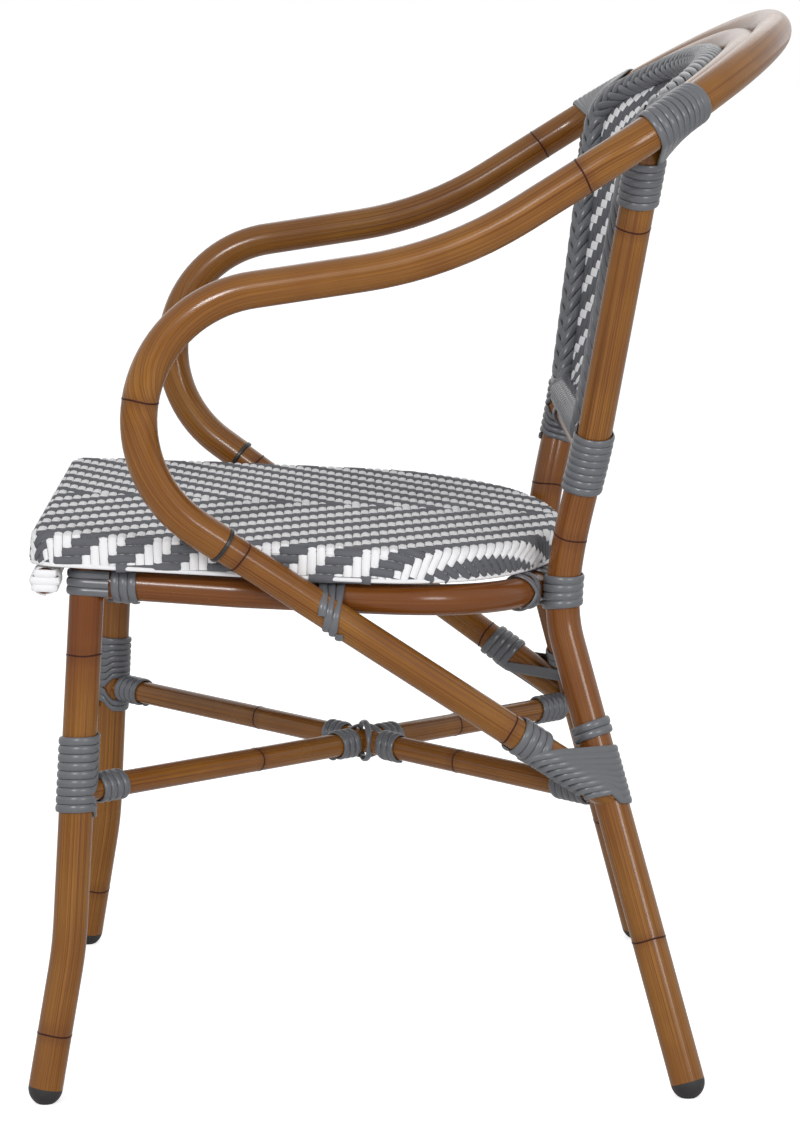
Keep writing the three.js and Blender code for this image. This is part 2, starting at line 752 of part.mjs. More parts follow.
// Back: plaited border on a rod, carried by the cross rail, and the panel inside it
const braidInset = legRadius + strandLift + braidSlack + braidRadius;
const railS = (backRailHeight - kneeEndAt.z) / postUp.z;
const braidLow = railS + backRailRadius + gap + braidRadius;
function loopOnBack(inset, low, corner) {
  const half = bentPoints(hoopOutline(inset, low, corner), coarseArcStep);
  const apex = half[half.length - 1].clone().setX(0);
  const body = half.filter((p) => p.x > gap);
  const start = vec(gap, low, 0);
  const outline = [start, ...body, apex, ...mirrorPoints(body), start.clone().setX(-gap)];
  const { points, ups } = laidOnBack(outline);
  return new Line(points, undefined, ups);
}
const braidLine = loopOnBack(braidInset, braidLow, braidCorner);

// Round section with a slot at the back for the rod; local x points out of the back's surface
function braidSection() {
  const slotAngle = Math.asin(braidSlotHalf / braidRadius);
  const steps = 8;
  const points = [];
  for (let k = 0; k <= steps; k++) {
    const angle = slotAngle + ((2 * Math.PI - 2 * slotAngle) * k) / steps;
    points.push(new THREE.Vector2(braidRadius * Math.cos(angle), braidRadius * Math.sin(angle)));
  }
  points.push(new THREE.Vector2(-rodRadius - gap, -braidSlotHalf));
  points.push(new THREE.Vector2(-rodRadius - gap, braidSlotHalf));
  return new THREE.Shape(points);
}
addPiece('back_braid', sweep(braidLine, braidSection()), finishes.strandGrey);
addPiece('back_frame', rod(braidLine, rodRadius, rodSides), finishes.alloy);

// Panel: rows across the back at the inset outline's own heights, bowed backwards between its edges
const panelInset = braidInset + braidRadius + 2 * gap;
function panelGeometry() {
  const low = braidLow + braidRadius + gap;
  const rows = bentPoints(hoopOutline(panelInset, low, braidCorner - braidRadius)).slice(1);
  const flat = splitAtBend(rows);
  const used = flat.filter((p, i) => p.x > panelThickness && (i === 0 || p.y > flat[i - 1].y + gap));
  const half = panelThickness / 2;
  const top = used[used.length - 1].y;
  const positions = [];
  used.forEach(({ x, y }) => {
    const up = Math.abs((2 * (y - low)) / (top - low) - 1);
    const bow = panelBow * (1 - up ** panelBowPower);
    for (const face of [-half, half]) {
      for (let k = 0; k <= panelColumns; k++) {
        const reach = Math.sign(face) * ((2 * k) / panelColumns - 1);
        positions.push(...onBack(reach * x, y, face + bow * (1 - reach * reach)).toArray());
      }
    }
  });
  const around = 2 * (panelColumns + 1);
  const index = [];
  for (let k = 0; k < panelColumns; k++) {
    const [a, b, c, d] = [k, k + 1, around - 2 - k, around - 1 - k];
    const last = around * (used.length - 1);
    index.push(a, b, c, a, c, d);
    index.push(last + a, last + c, last + b, last + a, last + d, last + c);
  }
  for (let i = 1; i < used.length; i++) {
    for (let k = 0; k < around; k++) {
      const a = around * (i - 1) + k;
      const b = around * (i - 1) + ((k + 1) % around);
      index.push(a, a + around, b, b, a + around, b + around);
    }
  }
  const geometry = new THREE.BufferGeometry();
  geometry.setAttribute('position', new THREE.Float32BufferAttribute(positions, 3));
  geometry.setIndex(index);
  return geometry;
}
addPiece('back_weave', panelGeometry(), finishes.strandWhite);

// Distance along a line of its place nearest to a point
function nearestDistance(line, point) {
  let best = { distance: Infinity, at: 0 };
  for (let at = 0; at <= line.length; at += strandThickness) {
    const distance = line.at(at).point.distanceTo(point);
    if (distance < best.distance) best = { distance, at };
  }
  return best.at;
}
const ringPostHeight = ringHalfPoints[ringHalfPoints.length - 3].z;

// Bindings: one unbroken strand wound round a tube, or round a tube and its partner
const windingSteps = 8;
const pairSteps = 10;

// Stations of a strand: the angle round the tube and the distance along it. After the first run it
// steps over an entering tube in half a turn on the far side, and then makes its second run.
function strandTurns({ start, runs, pitch, steps, step = 0 }) {
  const [before, after] = runs;
  const stations = [];
  const half = step ? steps / 2 : 0;
  const total = (before + after) * steps + half;
  for (let k = 0; k <= total; k++) {
    const first = Math.min(k, before * steps);
    const middle = Math.min(Math.max(k - before * steps, 0), half);
    const rest = k - first - middle;
    const across = half ? (middle / half) * step : 0;
    stations.push({ turn: k / steps, distance: start + ((first + rest) / steps) * pitch + across });
  }
  return stations;
}

// Where a partner's centre line passes the plane at a point, nearest to it, and its direction there
function partnerSpot(partner, point, along) {
  let best = { spot: point, way: along, distance: Infinity };
  for (let i = 1; i < partner.points.length; i++) {
    const from = partner.points[i - 1].clone().sub(point).dot(along);
    const to = partner.points[i].clone().sub(point).dot(along);
    if (from * to > 0 || from === to) continue;
    const spot = partner.points[i - 1].clone().lerp(partner.points[i], from / (from - to));
    const way = partner.points[i].clone().sub(partner.points[i - 1]).normalize();
    const distance = spot.distanceTo(point);
    if (distance < best.distance) best = { spot, way, distance };
  }
  return best;
}

// How far a partner tube reaches from its centre over a strand's width, in a plane it crosses aslant
function slantReach(radius, lean, width) {
  return radius / lean + (width / 2) * Math.tan(Math.acos(lean));
}

function winding(name, material, options) {
  const { line, radius, up, partner, partnerRadius } = options;
  const { pitch = strandPitch, width = strandWidth, hand = 1 } = options;
  const steps = partner ? pairSteps : windingSteps;
  const phase = partner ? 0 : Math.PI / steps + Math.PI / 2;
  const rings = strandTurns({ ...options, pitch, steps }).map(({ turn, distance }) => {
    const { point, along } = line.at(distance);
    const { spot: second, way } = partner ? partnerSpot(partner, point, along) : { spot: point, way: along };
    const away = across(partner ? second.clone().sub(point) : up, along);
    const side = along.clone().cross(away);
    const angle = hand * (phase + turn * 2 * Math.PI);
    const out = away.multiplyScalar(Math.cos(angle)).addScaledVector(side, Math.sin(angle));
    const lean = Math.abs(way.dot(along));
    const slant = partner ? slantReach(partnerRadius, lean, width) + partnerSlack : radius;
    const onSecond = second.clone().sub(point).dot(out) + slant - radius > 0;
    const centre = onSecond ? second : point;
    const inner = ((onSecond ? slant : radius) + gap) / Math.cos(Math.PI / steps);
    const outer = inner + strandThickness;
    const half = width / 2;
    return [[inner, -half], [outer, -half], [outer, half], [inner, half]].map(([r, shift]) =>
      centre.clone().addScaledVector(out, r).addScaledVector(along, shift),
    );
  });
  console.log(`${name}: least gap to itself ${leastSelfGap(rings, steps).toFixed(2)} mm`);
  addPiece(name, ribbonGeometry(rings), material);
}

function ribbonGeometry(rings) {
  const positions = rings.flat().flatMap((p) => p.toArray());
  const index = [0, 1, 2, 0, 2, 3];
  for (let i = 1; i < rings.length; i++) {
    for (let k = 0; k < 4; k++) {
      const a = 4 * (i - 1) + k;
      const b = 4 * (i - 1) + ((k + 1) % 4);
      index.push(a, a + 4, b, b, a + 4, b + 4);
    }
  }
  const last = 4 * (rings.length - 1);
  index.push(last, last + 2, last + 1, last, last + 3, last + 2);
  const geometry = new THREE.BufferGeometry();
  geometry.setAttribute('position', new THREE.Float32BufferAttribute(positions, 3));
  geometry.setIndex(index);
  return signedVolume(geometry) > 0 ? geometry : flipped(geometry);
}

function signedVolume(geometry) {
  const at = (i) => new THREE.Vector3().fromBufferAttribute(geometry.attributes.position, i);
  let volume = 0;
  for (let i = 0; i < geometry.index.count; i += 3) {
    const [a, b, c] = [0, 1, 2].map((k) => at(geometry.index.getX(i + k)));
    volume += a.dot(b.cross(c)) / 6;
  }
  return volume;
}

function flipped(geometry) {
  const index = Array.from(geometry.index.array);
  for (let i = 0; i < index.length; i += 3) [index[i + 1], index[i + 2]] = [index[i + 2], index[i + 1]];
  geometry.setIndex(index);
  return geometry;
}

// Least distance between the strand's edges on turns that lie beside each other
function leastSelfGap(rings, steps) {
  const parts = 4;
  const points = [];
  for (let i = 1; i < rings.length; i++) {
    for (let k = 0; k < parts; k++) {
      points.push(rings[i - 1].map((p, c) => p.clone().lerp(rings[i][c], k / parts)));
    }
  }
  let least = Infinity;
  const away = (steps * parts) / 2;
  for (let i = 0; i < points.length; i++) {
    for (let j = i + away; j < Math.min(points.length, i + 4 * away); j++) {
      for (const p of points[i]) for (const q of points[j]) least = Math.min(least, p.distanceTo(q));
    }
  }
  return least;
}

// Distances along a line, above and below a place where another tube enters it, that clear the tube
function clearances(line, distance, otherWay, otherRadius, radius) {
  const { along } = line.at(distance);
  const lean = along.dot(otherWay);
  const slope = lean / Math.sqrt(1 - lean * lean);
  const own = (otherRadius + gap) / Math.sqrt(1 - lean * lean);
  const outer = (radius + gap) / Math.cos(Math.PI / windingSteps) + strandThickness;
  const clear = strandWidth / 2 + strandPitch - strandWidth;
  return {
    above: own + Math.max(outer * slope, radius * slope) + clear,
    below: own - Math.min(outer * slope, radius * slope) + clear,
  };
}

// Distance from a leg's axis at which a sleeve on an entering tube clears the leg's own binding
function sleeveStart(legWay, tubeWay, legReach, tubeRadius) {
  const lean = Math.abs(legWay.dot(tubeWay));
  const sine = Math.sqrt(1 - lean * lean);
  const own = (tubeRadius + gap) / Math.cos(Math.PI / windingSteps) + strandThickness;
  return (legReach + gap) / sine + (own * lean) / sine + strandWidth / 2 + gap;
}

const legOuter = (legRadius + gap) / Math.cos(Math.PI / windingSteps) + strandThickness;

for (const { word, sign } of sides) {
  const hand = sign;
  const grey = (name, options) => winding(`${name}_${word}`, finishes.strandGrey, { hand, ...options });
  const front = sided(frontLegLine, sign);
  const rear = sided(rearHalfLine, sign);
  const brace = sided(braceLine, sign);
  const ring = sided(ringHalfLine, sign);
  const outer = sided(outerHalfLine, sign);

  // Front leg: above and under the stretcher
  const frontEntry = front.where('z', stretcherFront.z);
  const frontWay = crossing.clone().sub(place(stretcherFront, sign)).normalize();
  const frontClear = clearances(front, frontEntry, frontWay, stretcherRadius, legRadius);
  grey('front_leg_binding', {
    line: front, radius: legRadius, up: frontWay, runs: [1, 5],
    start: frontEntry - frontClear.below - strandPitch, step: frontClear.above + frontClear.below,
  });

  // Rear leg: above the brace and under the stretcher
  const rearEntry = rear.where('z', stretcherRear.z);
  const rearWay = crossing.clone().sub(place(stretcherRear, sign)).normalize();
  const braceUp = brace.points[0].clone().sub(brace.points[1]).normalize();
  const upperClear = clearances(rear, rearEntry, braceUp, braceRadius, legRadius).above;
  const lowerClear = clearances(rear, rearEntry, rearWay, stretcherRadius, legRadius).below;
  grey('rear_leg_binding', {
    line: rear, radius: legRadius, up: rearWay.clone().add(braceUp), runs: [1, 4],
    start: rearEntry - lowerClear - strandPitch, step: upperClear + lowerClear,
  });

  // Sleeves where the brace and the stretchers enter the legs
  const rearUp = rear.at(rearEntry).along;
  const braceStart = brace.length - sleeveStart(rearUp, braceUp, legOuter, braceRadius);
  grey('brace_end_binding', {
    line: brace, radius: braceRadius, up: rearUp, runs: [4, 0], start: braceStart - 4 * strandPitch,
  });
  const frontTube = new Line([place(stretcherFront, sign), crossing]);
  const rearTube = new Line([place(stretcherRear, sign), crossing]);
  grey('front_stretcher_binding', {
    line: frontTube, radius: stretcherRadius, up: vec(0, 0, 1), runs: [3, 0],
    start: sleeveStart(front.at(frontEntry).along, frontWay, legOuter, stretcherRadius),
  });
  grey('rear_stretcher_binding', {
    line: rearTube, radius: stretcherRadius, up: vec(0, 0, 1), runs: [3, 0],
    start: sleeveStart(rearUp, rearWay, legOuter, stretcherRadius),
  });

  // Seat ring: round its front end, and round ring and brace where they pass
  const ringWay = ring.at(0).along;
  const ringUp = across(seatUp, ringWay);
  const legTop = front.at(front.where('z', ring.points[0].z)).along;
  grey('ring_end_binding', {
    line: ring, radius: ringRadius, up: ringUp, runs: [3, 0],
    start: sleeveStart(legTop, ringWay, legOuter, ringRadius),
  });
  grey('brace_ring_binding', {
    line: ring, radius: ringRadius, partner: brace, partnerRadius: braceRadius, runs: [3, 0],
    pitch: loosePitch, start: ring.where('y', bracePassBack),
  });

  // Posts: round the cross rail's end and under the shoulder
  const railEntry = rear.where('z', backRailHeight);
  const railWay = vec(-sign, 0, 0);
  const railClear = clearances(rear, railEntry, railWay, backRailRadius, legRadius);
  grey('post_middle_binding', {
    line: rear, radius: legRadius, up: railWay, runs: [3, 3], pitch: loosePitch,
    start: railEntry - railClear.below - 3 * loosePitch, step: railClear.above + railClear.below,
  });
  const postTop = rear.where('z', onBack(0, backBendStart).z);
  grey('post_top_binding', {
    line: rear, radius: legRadius, up: railWay, runs: [6, 0], start: postTop - 6 * strandPitch - strandWidth,
  });

  // Round both hoops, from the place where they are as near to each other as the binding allows
  const spreadAt = (distance) => {
    const { point, along } = outer.at(distance);
    return partnerSpot(rear, point, along).distance;
  };
  const meeting = solve(
    (distance) => hoopBindingSpread - spreadAt(distance),
    outer.where('y', armSaddleBack),
    outer.length,
  );
  grey('hoop_binding', {
    line: outer, radius: hoopRadius, partner: rear, partnerRadius: legRadius, runs: [7, 0],
    start: meeting, pitch: slimStrandPitch, width: slimStrandWidth,
  });

  // White strand round the front rail's end
  const rail = new Line([place(frontRailAt, sign), vec(0, frontRailAt.y, frontRailAt.z)]);
  winding(`rail_end_binding_${word}`, finishes.strandWhite, {
    line: rail, radius: frontRailRadius, up: seatUp, runs: [3, 0], start: strandWidth / 2 + gap, hand,
  });

  // Lashings at the leg's top and where the ring meets the post: a collar on the upright joined to a
  // sleeve on the ring, opened for both tubes
  const legJoin = front.where('z', ring.points[0].z);
  const ringCutter = grown(ringLine, ringRadius);
  const legCollar = rod(front.stretch(legJoin - lashingHalf, legJoin + lashingHalf), legRadius + strandLift);
  addPiece(
    `leg_top_lashing_${word}`,
    cut(legCollar, [grown(front, legRadius), ringCutter, seatSlab]),
    finishes.strandGrey,
  );
  const post = rear.at(rear.where('z', ringPostHeight)).point;
  const postJoin = rear.where('z', ringPostHeight);
  const ringJoin = nearestDistance(ring, post);
  const postStretch = rear.stretch(postJoin - lashingHalf, postJoin + lashingHalf);
  const postCollar = rod(postStretch, legRadius + strandLift);
  const ringSleeve = rod(ring.stretch(ringJoin - lashingReach, ringJoin + lashingReach), strandFlat);
  addPiece(
    `seat_lashing_${word}`,
    cut(geometryOf(solid(postCollar).add(solid(ringSleeve))), [rearCutter, ringCutter, seatSlab]),
    finishes.strandGrey,
  );

  // Crossing of the stretchers, on either side along the full one
  const towards = (sign > 0 ? place(stretcherFront) : place(stretcherRear, -1)).sub(crossing);
  const away = new Line([crossing, crossing.clone().add(towards)]);
  const halfWay = place(stretcherRear).sub(crossing).normalize();
  winding(`crossing_binding_${sign > 0 ? 'front' : 'rear'}`, finishes.strandGrey, {
    line: away, radius: stretcherRadius, up: vec(0, 0, 1), runs: [3, 0], hand,
    start: sleeveStart(towards.clone().normalize(), halfWay, stretcherRadius, stretcherRadius),
  });
}

// Centres the chair's footprint on the origin
const box = new THREE.Box3().setFromObject(chair);
chair.position.y = -(box.min.y + box.max.y) / 2;

export default chair;
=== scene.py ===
"""Looks of a stacking cafe armchair: bent wood-look tubes, a woven seat and back, and strand bindings.

Lengths are in millimetres in the makers' frame of the sizes below, and are turned into metres in the
row frame when a mesh is made.
"""

import logging
import math
from collections.abc import Callable, Iterable
from dataclasses import dataclass, field, replace
from enum import Enum

import bpy
import numpy as np
from bpy.types import Material, Node, NodeSocket, NodeTree, Object
from mathutils import Matrix, Vector

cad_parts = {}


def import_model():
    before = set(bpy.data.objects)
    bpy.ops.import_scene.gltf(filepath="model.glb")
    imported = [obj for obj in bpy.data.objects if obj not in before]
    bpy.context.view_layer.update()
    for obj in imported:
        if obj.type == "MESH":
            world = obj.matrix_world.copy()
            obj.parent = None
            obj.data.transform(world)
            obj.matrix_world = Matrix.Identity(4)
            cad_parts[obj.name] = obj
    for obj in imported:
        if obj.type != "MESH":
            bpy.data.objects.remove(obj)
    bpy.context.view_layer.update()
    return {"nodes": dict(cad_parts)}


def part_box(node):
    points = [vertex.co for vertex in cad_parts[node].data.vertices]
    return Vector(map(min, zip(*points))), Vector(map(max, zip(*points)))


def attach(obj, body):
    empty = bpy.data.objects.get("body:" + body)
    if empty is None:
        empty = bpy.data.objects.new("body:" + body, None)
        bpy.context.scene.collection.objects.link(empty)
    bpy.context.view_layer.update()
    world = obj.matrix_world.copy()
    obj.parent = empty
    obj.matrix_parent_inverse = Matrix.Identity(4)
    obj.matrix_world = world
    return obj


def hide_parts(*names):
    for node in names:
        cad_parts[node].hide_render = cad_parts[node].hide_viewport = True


Array = np.ndarray
log = logging.getLogger("chair")

METRE = 0.001


@dataclass(frozen=True)
class Sizes:
    """Driving sizes, the same as those of the solids."""

    overall_height: float = 870.0
    gap: float = 0.3
    hoop_radius: float = 14.5
    leg_radius: float = 14.0
    brace_radius: float = 13.0
    ring_radius: float = 12.5
    stretcher_radius: float = 10.0
    back_rail_radius: float = 8.0
    front_rail_radius: float = 9.5
    strand_width: float = 6.2
    strand_thickness: float = 2.0
    strand_pitch: float = 6.8
    loose_pitch: float = 7.3
    front_foot: tuple = (251.0, -259.1, 12.5)
    front_bend: tuple = (236.6, -238.8, 126.0)
    front_top: tuple = (212.6, -219.4, 409.0)
    front_bend_radius: float = 300.0
    rear_foot: tuple = (252.6, 260.3, 12.5)
    knee_start: tuple = (164.2, 167.7, 361.0)
    knee_end: tuple = (180.8, 188.7, 534.0)
    knee_handle: float = 52.0
    cap_height: float = 14.5
    seat_front_y: float = -264.0
    seat_front_z: float = 437.5
    seat_tilt: float = math.radians(3.0)
    seat_thickness: float = 26.0
    seat_skin: float = 3.0
    seat_depth: float = 434.0
    seat_front_half: float = 240.0
    seat_half: float = 252.0
    seat_corner_radius: float = 20.0
    seat_rear_depth: float = 169.5
    seat_power: float = 2.08
    seat_frame_radius: float = 9.0
    ring_half: float = 234.0
    ring_power: float = 2.6
    ring_side_start: tuple = (232.0, -100.0)
    brace_pass_back: float = -34.0
    joint_height: float = 459.0
    joint_back: float = -110.0
    joint_ring_width: float = 3.0
    joint_ring_radius: float = 15.2
    brace_foot: tuple = (198.5, 200.5, 239.0)
    arm_rest_y: float = -65.0
    arm_rest_z: float = 662.7
    arm_bend_radius: float = 104.0
    arm_front_half: float = 300.0
    arm_slope: float = 0.145
    arm_saddle_radius: float = 320.0
    rise_slope: float = 0.62
    arch_start: float = 188.0
    arch_half: float = 303.0
    arch_reach: float = 188.0
    hoop_ease_half: float = 303.5
    shoulder_angle: float = math.radians(18.0)
    shoulder_radius: float = 48.0
    shoulder_clearance: float = math.radians(9.0)
    back_bend_radius: float = 45.0
    back_rail_height: float = 512.0
    braid_radius: float = 11.0
    braid_corner: float = 34.0
    braid_slack: float = 3.0
    stretcher_front: tuple = (229.5, -233.0, 252.0)
    stretcher_rear: tuple = (196.0, 202.6, 238.0)

    @property
    def strand_lift(self) -> float:
        """How far a strand stands off the tube it lies on."""
        return self.strand_thickness + self.gap


@dataclass(frozen=True)
class Looks:
    """Sizes and shares of the looks alone: tilts in radians, edges' angles in degrees, the floor in metres.

    Turns are counted from where a neighbouring winding or bend starts. The shares at the crossing are of
    a stretcher's radius, and the heights of the strands on a rail's end are shares of its radius.
    """

    tube_sides: int = 32
    tube_step: float = 7.0
    node_steps: int = 40
    node_width: float = 1.5
    node_height: float = 0.6
    node_wobble: float = 0.9
    node_ripple_share: float = 0.45
    scorch_reach: float = 5.0
    arm_node_height: float = 575.0
    arm_node_back: float = 171.0
    post_node_heights: tuple = (124.0, 446.0, 703.0)
    leg_node_heights: tuple = (56.0, 362.0)
    brace_node_starts: tuple = (15.0, 105.0)
    stretcher_node_backs: tuple = (-90.0, 82.0)
    leg_top_drop: float = 1.5
    outer_up: tuple = (0.3, 0.2, 1.0)
    rear_up: tuple = (0.2, 1.0, 0.1)
    ring_sides: int = 48
    ring_smooth: float = 50.0
    chart_angle: float = 66.0
    cap_sides: int = 40
    cap_smooth: float = 40.0
    rear_leg_wind_high: float = 275.0
    rear_leg_wind_low: float = 230.0
    brace_wind_high: float = 277.0
    shoulder_starts_and_turns: tuple = ((223.0, 10), (211.0, 13))
    shoulder_end_back: float = 258.0
    rail_end_strand_heights: tuple = (0.7, 0.08, -0.54)
    post_top_turns: float = 6.5
    rear_crowd: float = 0.88
    rear_above_turns: float = 1.2
    brace_sleeve_turns: float = 4.5
    lashing_tilt: float = 0.5
    shoulder_fan: float = 3.0
    strap_bend_share: float = 0.96
    crossing_sleeve_share: float = 2.2
    crossing_loop_share: float = 1.25
    crossing_tilt: float = 0.55
    floor_size: float = 60.0
    floor_tone: float = 0.86
    floor_rough: float = 0.9
    floor_glow: float = 0.6


SIZES = Sizes()
LOOKS = Looks()
SIDES = ((1, "left"), (-1, "right"))


def vec(x: float, y: float, z: float) -> Array:
    """A point or direction as an array."""
    return np.array([x, y, z], float)


def unit(vector: Array) -> Array:
    """The vector, or each row of them, at unit length."""
    return vector / np.linalg.norm(vector, axis=-1, keepdims=True)


def across(vector: Array, along: Array) -> Array:
    """The part of a vector that is square to a unit direction, at unit length."""
    return unit(vector - np.sum(vector * along, axis=-1, keepdims=True) * along)


def flip(point: Array, side: int) -> Array:
    """The point on the sitter's left for side 1, or its mirror image for side -1."""
    return np.asarray(point, float) * vec(side, 1, 1)


def solve(rising: Callable[[float], float], low: float, high: float) -> float:
    """The value between low and high at which a rising function crosses zero.

    Args:
        rising: Function of one number.
        low: Value at which it is negative.
        high: Value at which it is positive.

    Returns:
        The crossing.
    """
    for _ in range(40):
        middle = (low + high) / 2
        if rising(middle) > 0:
            high = middle
        else:
            low = middle
    return (low + high) / 2


ARC_STEP = math.radians(3.0)
ROUGH_STEP = 6.0
FINE_STEP = 2.0
SEARCH_STEP = 1.0


class Path:
    """A centre line through many stations."""

    def __init__(self, points: Iterable) -> None:
        """Keeps the stations and their distances along the line.

        Args:
            points: The stations, in order.
        """
        self.points = np.asarray(list(points), float)
        steps = np.linalg.norm(np.diff(self.points, axis=0), axis=1)
        self.ends = np.concatenate([[0.0], np.cumsum(steps)])
        self.length = float(self.ends[-1])

    def at(self, distance: float | Array) -> Array:
        """The point, or points, at a distance along the line, which runs on straight past its ends."""
        d = np.asarray(distance, float)
        inside = np.stack([np.interp(d, self.ends, self.points[:, k]) for k in range(3)], axis=-1)
        head = unit(self.points[0] - self.points[1])
        tail = unit(self.points[-1] - self.points[-2])
        before = np.maximum(-d, 0)[..., None] * head
        after = np.maximum(d - self.length, 0)[..., None] * tail
        return inside + before + after

    def along(self, distance: float | Array, reach: float = FINE_STEP) -> Array:
        """The direction, or directions, at a distance along the line."""
        d = np.asarray(distance, float)
        return unit(self.at(d + reach) - self.at(d - reach))

    def where(self, axis: int, value: float) -> float:
        """Distance along the line at which one coordinate first reaches a value."""
        values = self.points[:, axis]
        for i in range(1, len(values)):
            if min(values[i - 1], values[i]) <= value <= max(values[i - 1], values[i]):
                share = (value - values[i - 1]) / (values[i] - values[i - 1])
                return float(self.ends[i - 1] + share * (self.ends[i] - self.ends[i - 1]))
        return self.length

    def nearest(self, point: Array) -> float:
        """Distance along the line of its place nearest to a point."""
        spots = np.arange(0.0, self.length, SEARCH_STEP)
        return float(spots[np.argmin(np.linalg.norm(self.at(spots) - point, axis=1))])

    def flipped(self, side: int) -> "Path":
        """The line itself for side 1, or its mirror image for side -1."""
        return Path(self.points * vec(side, 1, 1))

    def spread(self, step: float, start: float = 0.0, end: float | None = None) -> Array:
        """Even distances along the line, about a step apart."""
        last = self.length if end is None else end
        return np.linspace(start, last, max(2, math.ceil((last - start) / step) + 1))

    def clearance(self, other: "Path") -> float:
        """Least distance to another line."""
        mine = self.at(self.spread(FINE_STEP))
        theirs = other.at(other.spread(FINE_STEP))
        return float(np.min(np.linalg.norm(mine[:, None] - theirs[None], axis=2)))


def bent(corners: list[tuple[Array, float]]) -> list[Array]:
    """Corner points with bend radii, as straight runs and arcs.

    Args:
        corners: Each corner and its bend radius. A corner with radius 0 stays as it is.

    Returns:
        The stations.
    """
    points = []
    for i, (corner, radius) in enumerate(corners):
        if not radius:
            points.append(corner)
            continue
        back = unit(corners[i - 1][0] - corner)
        forth = unit(corners[i + 1][0] - corner)
        turn = math.pi - math.acos(float(np.clip(np.dot(back, forth), -1, 1)))
        centre = corner + unit(back + forth) * radius / math.cos(turn / 2)
        first = corner + back * radius * math.tan(turn / 2) - centre
        for angle in np.linspace(0, turn, max(3, math.ceil(turn / ARC_STEP) + 1)):
            points.append(centre + first * math.cos(angle) - back * radius * math.sin(angle))
    return points


def bezier(start: Array, leave: Array, arrive: Array, end: Array, steps: int = 24) -> list[Array]:
    """Stations of a cubic curve through its ends, pulled by two handles."""
    shares = np.linspace(0, 1, steps + 1)[:, None]
    rest = 1 - shares
    curve = rest**3 * start + 3 * rest**2 * shares * leave + 3 * rest * shares**2 * arrive
    return list(curve + shares**3 * end)


def turned(vector: Array, angle: float | Array) -> Array:
    """A direction without sideways part, turned about the sideways axis from up towards the back."""
    c, s = np.cos(angle), np.sin(angle)
    parts = (np.zeros_like(c), vector[1] * c + vector[2] * s, vector[2] * c - vector[1] * s)
    return np.stack(parts, axis=-1)


class SeatPlane:
    """The tilted plane of the seat: its own y runs back along it and its z is square to it."""

    def __init__(self, sizes: Sizes) -> None:
        """Keeps the plane's place and directions.

        Args:
            sizes: The driving sizes.
        """
        self.origin = vec(0, sizes.seat_front_y, sizes.seat_front_z)
        self.back = vec(0, math.cos(sizes.seat_tilt), -math.sin(sizes.seat_tilt))
        self.up = vec(0, math.sin(sizes.seat_tilt), math.cos(sizes.seat_tilt))

    def lay(self, x: float | Array, y: float | Array, z: float | Array) -> Array:
        """The point, or points, at places on the plane and heights over it."""
        flat = np.broadcast_arrays(np.asarray(x, float), np.asarray(y, float), np.asarray(z, float))
        side = flat[0][..., None] * vec(1, 0, 0)
        return self.origin + side + flat[1][..., None] * self.back + flat[2][..., None] * self.up


